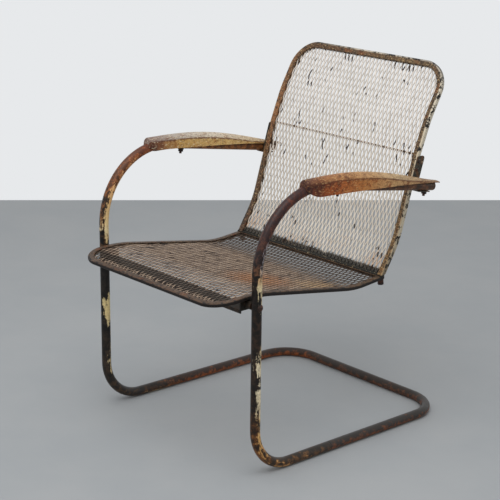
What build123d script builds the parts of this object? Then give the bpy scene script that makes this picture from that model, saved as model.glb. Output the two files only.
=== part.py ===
from build123d import *
import os
from math import atan2, cos, hypot, pi, radians, sin, sqrt, tan

# Cantilever lounge chair: bent steel tube, with a seat and a back of expanded metal.
# Millimetres and degrees. The chair faces -Y and +X is the sitter's left.
# Depths are measured rearwards from the point where leg and runner lines meet.

# Tube frame
TUBE_OD = 22.2
TUBE_WALL = 1.8
SIDE_GAP = 7.6            # between the panels and the side tubes
BASE_DEPTH = 623.0        # leg line to the rear cross tube
FLOOR_BEND_R = 102.0
REAR_BEND_R = 90.0
ARM_BEND_R = 170.0
LEG_LEAN = 1.3            # the legs lean forward by this
ARM_HEIGHT = 658.0        # where the arm line, carried forward, meets the leg line
ARM_SLOPE = 7.8           # the arms fall to the rear
ARM_TAIL = 26.0           # arm tube behind its rear stud
RUNNER_SPLICE = 229.0     # leg line to the splice in each runner
CORNER_TAIL = 4.0         # straight tube between a rear bend and its splice
SPIGOT_LENGTH = 38.0
SPIGOT_FIT = 0.05         # radial clearance of a spigot in the next tube
SPLICE_CHAMFER = 0.7

# Seat and back panels
PANEL_WIDTH = 500.0
RIM_WIDTH = 15.0
RIM_THICKNESS = 9.0       # of the seat rim
BACK_RIM_THICKNESS = 12.0
RIM_WALL = 2.6            # of the seat rim, folded double
RIM_ROUND = 2.8           # where the channel is folded over
MESH_THICKNESS = 3.2
MESH_EDGE_GAP = 0.5       # between the mesh and the bottom of the rim's groove

# Seat profile, side view
SEAT_FRONT = -101.0
SEAT_FRONT_Z = 398.5
SEAT_CREST = -10.0
SEAT_CREST_Z = 415.5
SEAT_DIP = 316.0
SEAT_DIP_Z = 367.5
SEAT_REAR = 414.0
SEAT_REAR_Z = 378.0
SEAT_CREST_R = 390.0
SEAT_DIP_R = 260.0
SEAT_FRONT_CORNER_R = 62.0
SEAT_REAR_CORNER_R = 6.0

# Back profile, side view, above the foot on which it stands
BACK_KNEE_RISE = 73.0     # foot to the knee above the seat
BACK_CREASE_RISE = 198.0  # knee to the crease
BACK_CURL_RISE = 80.0     # crease to the place where it curls further back
BACK_TOP_RISE = 121.0     # from there to the top edge
BACK_FOOT_LEAN = 31.0
BACK_MID_LEAN = 15.7
BACK_CURL_LEAN = 20.9
BACK_TOP_LEAN = 28.3
BACK_KNEE_R = 230.0
BACK_CREASE_R = 120.0
BACK_CURL_R = 300.0
BACK_CORNER_R = 72.0

# Expanded metal, with its diamonds drawn larger and fewer than they are
DIAMOND_ACROSS = 25.4
DIAMOND_ALONG = 61.0
STRAND_WIDTH = 5.2
MESH_MARGIN = 3.0         # plain metal between the rim and the first opening

# Lower rail, an angle between the seat and the back
RAIL_SHEET = 2.5
RAIL_FOOT = 14.0
RAIL_HEIGHT = 11.0
BACK_SETBACK = 5.5        # from the rear end of the seat to the middle of the back's foot

# Stiffener rod behind the crease
ROD_D = 5.0
ROD_GAP = 0.4             # between the rod and the mesh

# Seat crossbar
CROSSBAR_WIDTH = 40.0
CROSSBAR_SHEET = 2.5
CROSSBAR_GAP = 0.1        # below the rim, which is bowed there
CROSSBAR_INSET = 10.0     # from the side of the seat to the outside of the ear
CROSSBAR_LIP = 8.0        # depth of its two long edges, which are turned down
EAR_DEPTH = 23.5

# Leg bolts
LEG_BOLT_D = 7.9
LEG_BOLT_DROP = 11.0      # below the top of the ear
LEG_HEAD_D = 16.0
LEG_HEAD_HEIGHT = 4.0
LEG_NUT_AF = 12.7
LEG_NUT_HEIGHT = 6.5
LEG_WASHER_D = 16.0
SPACER_OD = 19.0

# Arm covers
COVER_SHEET = 1.5
COVER_NOSE = 132.0        # leg line to the nose, along the arm
COVER_OVERHANG = 11.0     # behind the open end of the arm tube
COVER_RISE = 18.6         # how far the crown stands above the tube
COVER_PEAK = 0.44         # share of the length at which it stands highest
COVER_FALL = 1.3          # how early the crown falls behind its peak
COVER_TAPER = 2.2         # how early the sides close in behind the peak
COVER_END_WIDTH = 25.4
COVER_BULGE = 18.0        # extra width at the middle
COVER_CROWN = 10.0        # height of the curved top
CROWN_SHARE = 0.6         # the most of the whole height that the curved top takes
COVER_FLANGE_REAR = 9.5   # lower edge of the sides above the arm line, at the rear
COVER_FLANGE_FALL = 27.0  # how much lower that edge would lie at the nose
COVER_OUTER_FALL = 10.0   # how much deeper the outer side is there
COVER_NOSE_LOW = 9.0      # lower edge of the blunt nose below the arm line
COVER_NOSE_SHARE = 0.11   # share of the length over which the sides deepen behind it
COVER_SEAT_GAP = 0.3      # between cover and tube where they meet

# Studs under the covers
STUD_D = 6.3
STUD_FRONT = 224.0        # depth of the front stud
STUD_TAIL = 5.0           # stud below its nut
STUD_HEAD_GAP = 0.8       # from the weld at the stud's top to the sloping crown
ARM_NUT_AF = 11.0
ARM_NUT_HEIGHT = 5.5
ARM_WASHER_D = 15.0

# Back brackets
BRACKET_SHEET = 2.5
BRACKET_SETBACK = 22.5    # of its stud, behind the place where back and arm cross
BRACKET_AHEAD = 6.5       # plate in front of the middle of the rim
BRACKET_BEHIND = 18.0     # plate behind the middle of the rim
BRACKET_HEEL = 11.0       # foot behind its stud
BRACKET_CORNER_R = 6.0
BRACKET_TOE = 8.0         # how far the foot goes past the middle of the tube
BRACKET_TOP = 78.0        # above its foot
RIVET_D = 5.0
RIVET_HEAD_D = 9.0
RIVET_HEAD_HEIGHT = 2.0
RIVET_FIRST = 48.0        # above the foot
RIVET_PITCH = 18.0

# Corner bolts, screwed up through the seat rim into the rail's foot
CORNER_BOLT_D = 6.3
CORNER_BOLT_INSET = 9.5   # from the side of the seat
CORNER_HEAD_AF = 12.7
CORNER_HEAD_HEIGHT = 5.5
CORNER_BUSH_D = 14.0
CORNER_BUSH_HEIGHT = 8.0

# Common small values
WASHER_SHEET = 1.5
HOLE_CLEARANCE = 0.5      # on the diameter of a bolt hole
THREAD_CLEARANCE = 0.2    # on the diameter of a nut's bore
CONTACT = 0.05            # between a flat piece and the round tube it bears on
OVERRUN = 16.0            # extra length of a sheet before its outline trims it
PRISM = 200.0             # long enough to cut through a panel's whole bend

# Worked-out places
TUBE_R = TUBE_OD / 2
TUBE_BORE_R = TUBE_R - TUBE_WALL
PANEL_X = PANEL_WIDTH / 2
SIDE_X = PANEL_X + SIDE_GAP + TUBE_R
REAR_SPLICE_X = SIDE_X - REAR_BEND_R - CORNER_TAIL
GROOVE = RIM_THICKNESS - 2 * RIM_WALL
LEAN = radians(LEG_LEAN)
SLOPE = radians(ARM_SLOPE)
FRAME_SHIFT = (-SEAT_FRONT - BASE_DEPTH - TUBE_R) / 2


def leg_y(z):
    """Depth of the leg's centreline at a height."""
    return -(z - TUBE_R) * tan(LEAN)


ARM_VERTEX = (leg_y(ARM_HEIGHT), ARM_HEIGHT)


def arm_point(s, h=0.0):
    """Side-view point at distance s along the arm line and height h above it."""
    y = ARM_VERTEX[0] + s * cos(SLOPE) + h * sin(SLOPE)
    z = ARM_VERTEX[1] - s * sin(SLOPE) + h * cos(SLOPE)
    return y, z


def arm_s(y):
    """Distance along the arm line at a depth."""
    return (y - ARM_VERTEX[0]) / cos(SLOPE)


def mirrored(solid):
    return mirror(solid, about=Plane.YZ)


def write(shape, name):
    """Move a piece so that the footprint is centred, and write it."""
    export_step(Pos(0, FRAME_SHIFT, 0) * shape, f"parts/{name}.step")


# Bent lines and the sheets that follow them

def offset_line(points, distance):
    """Vertices of a bent side-view line moved to its upper or front side."""
    moved = []
    directions = []
    for (y0, z0), (y1, z1) in zip(points, points[1:]):
        length = hypot(y1 - y0, z1 - z0)
        directions.append(((y1 - y0) / length, (z1 - z0) / length))
    for i, (y, z) in enumerate(points):
        before = directions[max(i - 1, 0)]
        after = directions[min(i, len(directions) - 1)]
        ny = -(before[1] + after[1])
        nz = before[0] + after[0]
        scale = distance * 2 / (ny * ny + nz * nz)
        moved.append((y + ny * scale, z + nz * scale))
    return moved


def bent_wire(points, radii, distance):
    """The bent line at an offset, with its rounds kept concentric."""
    kept = []
    for i, radius in enumerate(radii):
        (y0, z0), (y1, z1), (y2, z2) = points[i:i + 3]
        left_turn = (y1 - y0) * (z2 - z1) - (z1 - z0) * (y2 - y1) > 0
        kept.append(radius - distance if left_turn else radius + distance)
    flat = [(0, y, z) for y, z in offset_line(points, distance)]
    return FilletPolyline(*flat, radius=kept)


def stretched(points):
    """The bent line with both ends carried straight on, to be trimmed by an outline."""
    (y0, z0), (y1, z1) = points[0], points[1]
    (y2, z2), (y3, z3) = points[-2], points[-1]
    first = OVERRUN / hypot(y1 - y0, z1 - z0)
    last = OVERRUN / hypot(y3 - y2, z3 - z2)
    start = (y0 - (y1 - y0) * first, z0 - (z1 - z0) * first)
    end = (y3 + (y3 - y2) * last, z3 + (z3 - z2) * last)
    return [start, *points[1:-1], end]


def bent_sheet(points, radii, low, high):
    """Sheet between two offsets of a bent line, wider and longer than its panel."""
    lower = bent_wire(stretched(points), radii, low)
    upper = bent_wire(stretched(points), radii, high)
    ends = [Line(lower @ 0, upper @ 0), Line(lower @ 1, upper @ 1)]
    face = Face(Wire(lower.edges() + upper.edges() + ends))
    return extrude(face, amount=PANEL_WIDTH, dir=(1, 0, 0), both=True)


SEAT_LINE = [
    (SEAT_FRONT, SEAT_FRONT_Z),
    (SEAT_CREST, SEAT_CREST_Z),
    (SEAT_DIP, SEAT_DIP_Z),
    (SEAT_REAR, SEAT_REAR_Z),
]
SEAT_RADII = [SEAT_CREST_R, SEAT_DIP_R]
SEAT_TAIL_ANGLE = atan2(SEAT_REAR_Z - SEAT_DIP_Z, SEAT_REAR - SEAT_DIP)


def seat_tail(inwards, above):
    """Side-view point measured from the rear end of the seat, along and above its tail."""
    y = SEAT_REAR - inwards * cos(SEAT_TAIL_ANGLE) - above * sin(SEAT_TAIL_ANGLE)
    z = SEAT_REAR_Z - inwards * sin(SEAT_TAIL_ANGLE) + above * cos(SEAT_TAIL_ANGLE)
    return y, z


# The back stands on the rail's foot, which lies on the rear of the seat rim
FOOT_TOP = RIM_THICKNESS / 2 + RAIL_SHEET
BACK_FOOT = seat_tail(BACK_SETBACK, FOOT_TOP)


def up_the_back():
    """Side-view vertices of the back, from its foot to its top edge."""
    rises = (BACK_KNEE_RISE, BACK_CREASE_RISE, BACK_CURL_RISE, BACK_TOP_RISE)
    leans = (BACK_FOOT_LEAN, BACK_MID_LEAN, BACK_CURL_LEAN, BACK_TOP_LEAN)
    points = [BACK_FOOT]
    for rise, lean in zip(rises, leans):
        y, z = points[-1]
        points.append((y + rise * tan(radians(lean)), z + rise))
    return points


BACK_LINE = up_the_back()


def back_over_arm():
    """Depth at which the back, going up, crosses the arm line."""
    depths = []
    for (y0, z0), (y1, z1) in zip(BACK_LINE, BACK_LINE[1:]):
        below = arm_point(arm_s(y0))[1] - z0
        above = z1 - arm_point(arm_s(y1))[1]
        depths.append(y0 + (y1 - y0) * below / (below + above))
        if above >= 0:
            break
    return depths[-1]


STUD_REAR = back_over_arm() + BRACKET_SETBACK
ARM_REACH = STUD_REAR + ARM_TAIL
COVER_LENGTH = arm_s(ARM_REACH) + COVER_OVERHANG - COVER_NOSE
BACK_RADII = [BACK_KNEE_R, BACK_CREASE_R, BACK_CURL_R]
BACK_SPAN = (BACK_LINE[-1][0] - BACK_FOOT[0], BACK_LINE[-1][1] - BACK_FOOT[1])
BACK_LENGTH = hypot(*BACK_SPAN)
BACK_TILT = atan2(BACK_SPAN[0], BACK_SPAN[1])
# Local X is the chair's X, local Y runs up the chord of the back, and Z points forward
BACK_PLANE = Plane(
    origin=(0, *BACK_FOOT),
    x_dir=(1, 0, 0),
    z_dir=(0, -cos(BACK_TILT), sin(BACK_TILT)),
)


def seat_outline(inset):
    """Plan view of the seat, drawn in by an inset."""
    width = PANEL_WIDTH - 2 * inset
    depth = SEAT_REAR - SEAT_FRONT - 2 * inset
    plan = Pos(0, (SEAT_FRONT + SEAT_REAR) / 2) * Rectangle(width, depth)
    front = plan.vertices().group_by(Axis.Y)[0]
    plan = fillet(front, max(SEAT_FRONT_CORNER_R - inset, 1.0))
    rear = plan.vertices().group_by(Axis.Y)[-1]
    return fillet(rear, max(SEAT_REAR_CORNER_R - inset, 1.0))


def back_outline(inset, foot):
    """Front view of the back along its chord, drawn in by an inset, from a given foot."""
    width = PANEL_WIDTH - 2 * inset
    height = BACK_LENGTH - inset - foot
    view = Pos(0, foot + height / 2) * Rectangle(width, height)
    top = view.vertices().group_by(Axis.Y)[-1]
    return fillet(top, max(BACK_CORNER_R - inset, 1.0))


def through_seat(sketch):
    return extrude(Pos(0, 0, SEAT_DIP_Z) * sketch, amount=PRISM / 2, both=True)


def through_back(sketch):
    return extrude(BACK_PLANE * sketch, amount=PRISM / 2, both=True)


def diamonds(width, low, high, corner_low, corner_high):
    """Openings of expanded metal, as polygons in rows that interlock, inside a rounded field."""
    half_x = DIAMOND_ACROSS / 2 - STRAND_WIDTH / 2
    half_y = DIAMOND_ALONG / 2 - STRAND_WIDTH / 2 * DIAMOND_ALONG / DIAMOND_ACROSS
    columns = int((width / 2 - half_x) / (DIAMOND_ACROSS / 2))
    rows = int((high - low - 2 * half_y) / (DIAMOND_ALONG / 2)) + 1
    start = (low + high) / 2 - (rows - 1) * DIAMOND_ALONG / 4
    found = []
    for row in range(rows):
        y = start + row * DIAMOND_ALONG / 2
        for column in range(-columns, columns + 1):
            if (row + column) % 2:
                continue
            x = column * DIAMOND_ACROSS / 2
            near_low = y - half_y - low < corner_low
            near_high = high - y - half_y < corner_high
            corner = max(corner_low * near_low, corner_high * near_high)
            if abs(x) + half_x > width / 2 - corner * 0.4:
                continue
            found.append([(x + half_x, y), (x, y + half_y), (x - half_x, y), (x, y - half_y)])
    return found


def holed(outline, openings):
    """One flat face with an opening for each polygon."""
    holes = [Wire.make_polygon([(x, y, 0) for x, y in corners]) for corners in openings]
    return Face(outline.face().outer_wire(), holes)


# Tube frame

def tube_along(path, start_direction):
    """Hollow round tube swept along a path of straight runs and tangent arcs."""
    end = Plane(origin=path @ 0, z_dir=start_direction)
    solid = sweep(end * Circle(TUBE_R), path=path)
    return solid - sweep(end * Circle(TUBE_BORE_R), path=path)


def drilled(solid, origin, direction, diameter, length):
    """The solid with a hole centred on origin along a direction."""
    return solid - rod_between(origin, direction, -length / 2, length / 2, diameter)


def rod_between(origin, direction, start, end, diameter):
    plane = Plane(origin=origin, z_dir=direction)
    return plane * Pos(0, 0, start) * Cylinder(
        diameter / 2, end - start, align=(Align.CENTER, Align.CENTER, Align.MIN)
    )


def hexagon(origin, direction, across, height):
    plane = Plane(origin=origin, z_dir=direction)
    return extrude(plane * RegularPolygon(across / 2, 6, major_radius=False), amount=height)


def hex_nut(origin, direction, across, height, bore):
    block = hexagon(origin, direction, across, height)
    return block - rod_between(origin, direction, 0, height, bore)


def washer(origin, direction, diameter, bore, height=WASHER_SHEET):
    plane = Plane(origin=origin, z_dir=direction)
    return extrude(plane * (Circle(diameter / 2) - Circle(bore / 2)), amount=height)


def domed_bolt(origin, direction, diameter, length, head_d, head_height):
    """Round-headed bolt: head above origin against the direction, shank along it."""
    shank = rod_between(origin, direction, 0, length, diameter)
    dome_r = (head_d**2 / 4 + head_height**2) / (2 * head_height)
    outline = Line((0, 0), (head_d / 2, 0)) + Line((0, head_height), (0, 0))
    middle = (dome_r * sin(0.5 * atan2(head_d / 2, dome_r - head_height)), 0)
    rise = sqrt(dome_r**2 - middle[0] ** 2) - (dome_r - head_height)
    outline += ThreePointArc((head_d / 2, 0), (middle[0], rise), (0, head_height))
    head = revolve(Plane.XZ * make_face(outline), Axis.Z)
    place = Plane(origin=origin, z_dir=tuple(-c for c in direction))
    return shank + place * head


ARM_UP = (0, sin(SLOPE), cos(SLOPE))
ARM_DOWN = (0, -sin(SLOPE), -cos(SLOPE))
SEAT_DROP = (0, sin(SEAT_TAIL_ANGLE), -cos(SEAT_TAIL_ANGLE))
STUD_DEPTHS = (STUD_FRONT, STUD_REAR)

# The crossbar's ears stand against the underside of the seat rim at the legs
CREST_CLIMB = atan2(SEAT_CREST_Z - SEAT_FRONT_Z, SEAT_CREST - SEAT_FRONT)
CREST_FALL = atan2(SEAT_CREST_Z - SEAT_DIP_Z, SEAT_DIP - SEAT_CREST)


def under_seat(y):
    """Height of the rim's underside at a depth on the crest."""
    half = (CREST_CLIMB + CREST_FALL) / 2
    middle = (CREST_CLIMB - CREST_FALL) / 2
    hub_y = SEAT_CREST + SEAT_CREST_R / cos(half) * sin(middle)
    hub_z = SEAT_CREST_Z - SEAT_CREST_R / cos(half) * cos(middle)
    return hub_z + sqrt((SEAT_CREST_R - RIM_THICKNESS / 2) ** 2 - (y - hub_y) ** 2)


CROSSBAR_Y = leg_y(SEAT_CREST_Z)
CROSSBAR_EDGES = (under_seat(CROSSBAR_Y - CROSSBAR_WIDTH / 2), under_seat(CROSSBAR_Y + CROSSBAR_WIDTH / 2))
CROSSBAR_TILT = atan2(CROSSBAR_EDGES[1] - CROSSBAR_EDGES[0], CROSSBAR_WIDTH)
CROSSBAR_PLANE = Plane(
    origin=(0, CROSSBAR_Y, sum(CROSSBAR_EDGES) / 2 - CROSSBAR_GAP),
    x_dir=(1, 0, 0),
    z_dir=(0, -sin(CROSSBAR_TILT), cos(CROSSBAR_TILT)),
)
LEG_BOLT_Z = CROSSBAR_PLANE.origin.Z - LEG_BOLT_DROP
LEG_BOLT_Y = leg_y(LEG_BOLT_Z)
EAR_OUT = PANEL_X - CROSSBAR_INSET
EAR_IN = EAR_OUT - CROSSBAR_SHEET


def front_tube():
    """Arm, arm bend, leg, floor bend and runner stub of the +X side."""
    arm_end = arm_point(arm_s(ARM_REACH))
    path = FilletPolyline(
        (SIDE_X, *arm_end),
        (SIDE_X, *ARM_VERTEX),
        (SIDE_X, 0, TUBE_R),
        (SIDE_X, RUNNER_SPLICE, TUBE_R),
        radius=[ARM_BEND_R, FLOOR_BEND_R],
    )
    tube = tube_along(path, (0, -cos(SLOPE), sin(SLOPE)))
    lip = tube.faces().sort_by_distance((SIDE_X, RUNNER_SPLICE, TUBE_R))
    mouth = [face for face in lip if abs(face.normal_at().Y) > 0.99][0]
    tube = chamfer(mouth.outer_wire().edges(), SPLICE_CHAMFER)
    for depth in STUD_DEPTHS:
        spot = (SIDE_X, *arm_point(arm_s(depth)))
        tube = drilled(tube, spot, ARM_UP, STUD_D + HOLE_CLEARANCE, 2 * TUBE_OD)
    bolt = (SIDE_X, LEG_BOLT_Y, LEG_BOLT_Z)
    return drilled(tube, bolt, (1, 0, 0), LEG_BOLT_D + HOLE_CLEARANCE, 2 * TUBE_OD)


def corner_path(inset):
    """Centreline of the +X runner and rear corner, short of its two splices by an inset."""
    return FilletPolyline(
        (SIDE_X, RUNNER_SPLICE + inset, TUBE_R),
        (SIDE_X, BASE_DEPTH, TUBE_R),
        (REAR_SPLICE_X + inset, BASE_DEPTH, TUBE_R),
        radius=[REAR_BEND_R],
    )


def corner_tube():
    """Runner and rear corner of the +X side, swaged at each end into a spigot for the next tube."""
    path = corner_path(0.0)
    tube = sweep(Plane(origin=path @ 0, z_dir=(0, 1, 0)) * Circle(TUBE_R), path=path)
    mouths = tube.faces().filter_by(GeomType.PLANE)
    tube = chamfer(mouths.edges(), SPLICE_CHAMFER)
    shoulder = CORNER_TAIL / 2
    bore = corner_path(shoulder)
    tube -= sweep(Plane(origin=bore @ 0, z_dir=(0, 1, 0)) * Circle(TUBE_BORE_R), path=bore)
    spigot_r = TUBE_BORE_R - SPIGOT_FIT
    for end, way in ((path @ 0, (0, -1, 0)), (path @ 1, (-1, 0, 0))):
        tube += rod_between(end, way, 0, SPIGOT_LENGTH, 2 * spigot_r)
        tube -= rod_between(end, way, -CORNER_TAIL, SPIGOT_LENGTH, 2 * (spigot_r - TUBE_WALL))
    return tube


def rear_cross_tube():
    """Straight tube on the floor, over the spigots of the corner tubes."""
    plane = Plane(origin=(0, BASE_DEPTH, TUBE_R), z_dir=(1, 0, 0))
    tube = extrude(plane * Circle(TUBE_R), amount=REAR_SPLICE_X, both=True)
    tube = chamfer(tube.faces().filter_by(GeomType.PLANE).edges(), SPLICE_CHAMFER)
    return tube - extrude(plane * Circle(TUBE_BORE_R), amount=REAR_SPLICE_X, both=True)


# Arm covers

def swell(share, fall):
    """Rise from nothing at the nose to one at the peak, and fall to nothing at the rear."""
    if share < COVER_PEAK:
        return sin(pi / 2 * share / COVER_PEAK)
    return cos(pi / 2 * (share - COVER_PEAK) / (1 - COVER_PEAK)) ** fall


def cover_top(share):
    """Height of the crown above the arm line."""
    return TUBE_R + COVER_SEAT_GAP + COVER_SHEET + COVER_RISE * swell(share, COVER_FALL)


def cover_section(share, shrink, below):
    """Closed section of the +X cover at a share of its length, square to the arm line."""
    half = (COVER_END_WIDTH + COVER_BULGE * swell(share, COVER_TAPER)) / 2 - shrink
    top = cover_top(share) - shrink
    inner = COVER_FLANGE_REAR - COVER_FLANGE_FALL * (1 - share) ** 2
    outer = inner - COVER_OUTER_FALL * (1 - share)
    depth = sin(pi / 2 * min(share / COVER_NOSE_SHARE, 1.0))
    lows = [-COVER_NOSE_LOW + (low + COVER_NOSE_LOW) * depth for low in (inner, outer)]
    shoulder = top - min(COVER_CROWN, CROWN_SHARE * (top - lows[0]))
    plane = Plane(
        origin=(SIDE_X, *arm_point(COVER_NOSE + share * COVER_LENGTH)),
        x_dir=(1, 0, 0),
        z_dir=(0, -cos(SLOPE), sin(SLOPE)),
    )
    corners = [(-half, shoulder), (-half, lows[0] - below), (half, lows[1] - below), (half, shoulder)]
    edges = Polyline(*corners) + ThreePointArc(corners[3], (0, top), corners[0])
    return plane * make_face(edges)


COVER_SHARES = (0.0, 0.04, 0.075, COVER_NOSE_SHARE, 0.2, 0.32, 0.44, 0.56, 0.68, 0.8, 0.9, 1.0)


def arm_cover():
    """Crowned sheet over the +X arm, open below and at the rear, with a blunt nose on the tube's bend."""
    outside = loft([cover_section(share, 0.0, 0.0) for share in COVER_SHARES])
    inside = loft([cover_section(share, COVER_SHEET, TUBE_OD) for share in COVER_SHARES])
    nose = extrude(cover_section(0.0, 0.0, 0.0), amount=COVER_SHEET, dir=(0, cos(SLOPE), -sin(SLOPE)))
    bend = FilletPolyline(
        (SIDE_X, *arm_point(arm_s(STUD_FRONT))),
        (SIDE_X, *ARM_VERTEX),
        (SIDE_X, LEG_BOLT_Y, LEG_BOLT_Z),
        radius=[ARM_BEND_R],
    )
    end = Plane(origin=bend @ 0, z_dir=(0, -cos(SLOPE), sin(SLOPE)))
    nose -= sweep(end * Circle(TUBE_R + COVER_SEAT_GAP), path=bend)
    return outside - inside + nose


def arm_stud(depth):
    """Stud hung from the inside of the cover, through the tube and its nut."""
    s = arm_s(depth)
    crown = cover_top((s - COVER_NOSE) / COVER_LENGTH) - COVER_SHEET - STUD_HEAD_GAP
    bottom = TUBE_R + CONTACT + stud_stack(depth) + STUD_TAIL
    return rod_between((SIDE_X, *arm_point(s)), ARM_UP, -bottom, crown, STUD_D)


def stud_stack(depth):
    """Thickness below the tube of what a stud clamps, with its nut."""
    plate = WASHER_SHEET if depth == STUD_FRONT else BRACKET_SHEET
    return plate + ARM_NUT_HEIGHT


def below_arm(depth, drop):
    """Point under the +X arm tube at a stud, a given drop below the tube."""
    return (SIDE_X, *arm_point(arm_s(depth), -TUBE_R - CONTACT - drop))


def arm_nut(depth):
    seat = below_arm(depth, stud_stack(depth) - ARM_NUT_HEIGHT)
    return hex_nut(seat, ARM_DOWN, ARM_NUT_AF, ARM_NUT_HEIGHT, STUD_D + THREAD_CLEARANCE)


def arm_washer():
    return washer(below_arm(STUD_FRONT, 0.0), ARM_DOWN, ARM_WASHER_D, STUD_D + HOLE_CLEARANCE)


# Seat

def softened(rim, outline, plane):
    """The rim with the long edges of its outer wall rounded."""
    border = outline.face().outer_wire()
    folds = []
    for edge in rim.edges():
        spot = plane.to_local_coords(edge @ 0.5)
        lengthwise = abs((edge % 0.5).dot(plane.z_dir)) < 0.5
        if lengthwise and border.distance_to(Vertex(spot.X, spot.Y, 0)) < CONTACT:
            folds.append(edge)
    return fillet(folds, RIM_ROUND)


def seat_sheet(thickness):
    return bent_sheet(SEAT_LINE, SEAT_RADII, -thickness / 2, thickness / 2)


def back_sheet(thickness):
    return bent_sheet(BACK_LINE, BACK_RADII, -thickness / 2, thickness / 2)


def corner_bolt_spot(above):
    """Middle of a corner bolt at a height above the seat's tail."""
    return (PANEL_X - CORNER_BOLT_INSET, *seat_tail(RAIL_FOOT / 2, above))


def seat_rim():
    """Channel all round the seat: a band of thick sheet, grooved for the mesh."""
    band = seat_sheet(RIM_THICKNESS) & through_seat(seat_outline(0.0) - seat_outline(RIM_WIDTH))
    groove = seat_sheet(GROOVE) & through_seat(seat_outline(RIM_WALL))
    rim = softened(band, seat_outline(0.0), Plane.XY) - groove
    hole = rod_between(
        corner_bolt_spot(0.0), SEAT_DROP, -RIM_THICKNESS, RIM_THICKNESS, CORNER_BOLT_D + HOLE_CLEARANCE
    )
    return rim - hole - mirrored(hole)


def seat_mesh():
    field = RIM_WIDTH + MESH_MARGIN
    openings = diamonds(
        PANEL_WIDTH - 2 * field,
        SEAT_FRONT + field,
        SEAT_REAR - field,
        SEAT_FRONT_CORNER_R - field,
        0.0,
    )
    plate = holed(seat_outline(RIM_WALL + MESH_EDGE_GAP), openings)
    mesh = seat_sheet(MESH_THICKNESS) & through_seat(plate)
    hole = rod_between(
        corner_bolt_spot(0.0), SEAT_DROP, -RIM_THICKNESS, RIM_THICKNESS, CORNER_BOLT_D + HOLE_CLEARANCE
    )
    return mesh - hole - mirrored(hole)


def seat_crossbar():
    """Strap below the seat with both long edges turned down and each end turned up into a drilled ear."""
    strap = Pos(0, 0, CROSSBAR_SHEET / 2 - EAR_DEPTH) * Box(2 * EAR_OUT, CROSSBAR_WIDTH, CROSSBAR_SHEET)
    ear = Pos((EAR_IN + EAR_OUT) / 2, 0, -EAR_DEPTH / 2) * Box(CROSSBAR_SHEET, CROSSBAR_WIDTH, EAR_DEPTH)
    edge = (CROSSBAR_WIDTH - CROSSBAR_SHEET) / 2
    drop = CROSSBAR_LIP / 2 - CROSSBAR_SHEET + EAR_DEPTH
    lips = [Pos(0, y, -drop) * Box(2 * EAR_OUT, CROSSBAR_SHEET, CROSSBAR_LIP) for y in (edge, -edge)]
    bar = CROSSBAR_PLANE * (strap + lips[0] + lips[1] + ear + mirrored(ear))
    return drilled(
        bar, (0, LEG_BOLT_Y, LEG_BOLT_Z), (1, 0, 0), LEG_BOLT_D + HOLE_CLEARANCE, 2 * PANEL_WIDTH
    )


def leg_spacer():
    start = (EAR_OUT, LEG_BOLT_Y, LEG_BOLT_Z)
    length = SIDE_X - TUBE_R - CONTACT - EAR_OUT
    sleeve = rod_between(start, (1, 0, 0), 0, length, SPACER_OD)
    return sleeve - rod_between(start, (1, 0, 0), 0, length, LEG_BOLT_D + HOLE_CLEARANCE)


def leg_bolt():
    head = (SIDE_X + TUBE_R + CONTACT, LEG_BOLT_Y, LEG_BOLT_Z)
    length = head[0] - EAR_IN + WASHER_SHEET + 1.4 * LEG_NUT_HEIGHT
    return domed_bolt(head, (-1, 0, 0), LEG_BOLT_D, length, LEG_HEAD_D, LEG_HEAD_HEIGHT)


def leg_washer():
    seat = (EAR_IN, LEG_BOLT_Y, LEG_BOLT_Z)
    return washer(seat, (-1, 0, 0), LEG_WASHER_D, LEG_BOLT_D + HOLE_CLEARANCE)


def leg_nut():
    seat = (EAR_IN - WASHER_SHEET, LEG_BOLT_Y, LEG_BOLT_Z)
    return hex_nut(seat, (-1, 0, 0), LEG_NUT_AF, LEG_NUT_HEIGHT, LEG_BOLT_D + THREAD_CLEARANCE)


# Back

def foot_cut():
    """Everything below the top of the rail's foot, to trim the back's lower ends."""
    y, z = seat_tail(0.0, FOOT_TOP)
    plane = Plane(origin=(0, y, z), x_dir=(1, 0, 0), z_dir=tuple(-c for c in SEAT_DROP))
    return plane * Box(2 * PANEL_WIDTH, PRISM, PRISM, align=(Align.CENTER, Align.CENTER, Align.MAX))


def back_rim():
    """Channel up both sides and over the top, standing on the rail's foot."""
    arch = back_outline(0.0, -OVERRUN) - back_outline(RIM_WIDTH, -2 * OVERRUN)
    band = back_sheet(BACK_RIM_THICKNESS) & through_back(arch)
    groove = back_sheet(GROOVE) & through_back(back_outline(RIM_WALL, -2 * OVERRUN))
    rim = softened(band, back_outline(0.0, -2 * OVERRUN), BACK_PLANE) - groove - foot_cut()
    for spot in rivet_spots():
        hole = rod_between(spot, (1, 0, 0), -RIM_WALL, RIM_WALL, RIVET_D + THREAD_CLEARANCE)
        rim = rim - hole - mirrored(hole)
    return rim


def back_mesh():
    field = RIM_WIDTH + MESH_MARGIN
    openings = diamonds(
        PANEL_WIDTH - 2 * field,
        RAIL_HEIGHT + MESH_MARGIN,
        BACK_LENGTH - field,
        0.0,
        BACK_CORNER_R - field,
    )
    plate = holed(back_outline(RIM_WALL + MESH_EDGE_GAP, -OVERRUN), openings)
    return (back_sheet(MESH_THICKNESS) & through_back(plate)) - foot_cut()


def back_point(rise):
    """Side-view point of the back's vertices at a height above its foot."""
    low = BACK_LINE[0]
    for high in BACK_LINE[1:]:
        if BACK_FOOT[1] + rise <= high[1]:
            break
        low = high
    share = (BACK_FOOT[1] + rise - low[1]) / (high[1] - low[1])
    return low[0] + share * (high[0] - low[0]), BACK_FOOT[1] + rise


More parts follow.
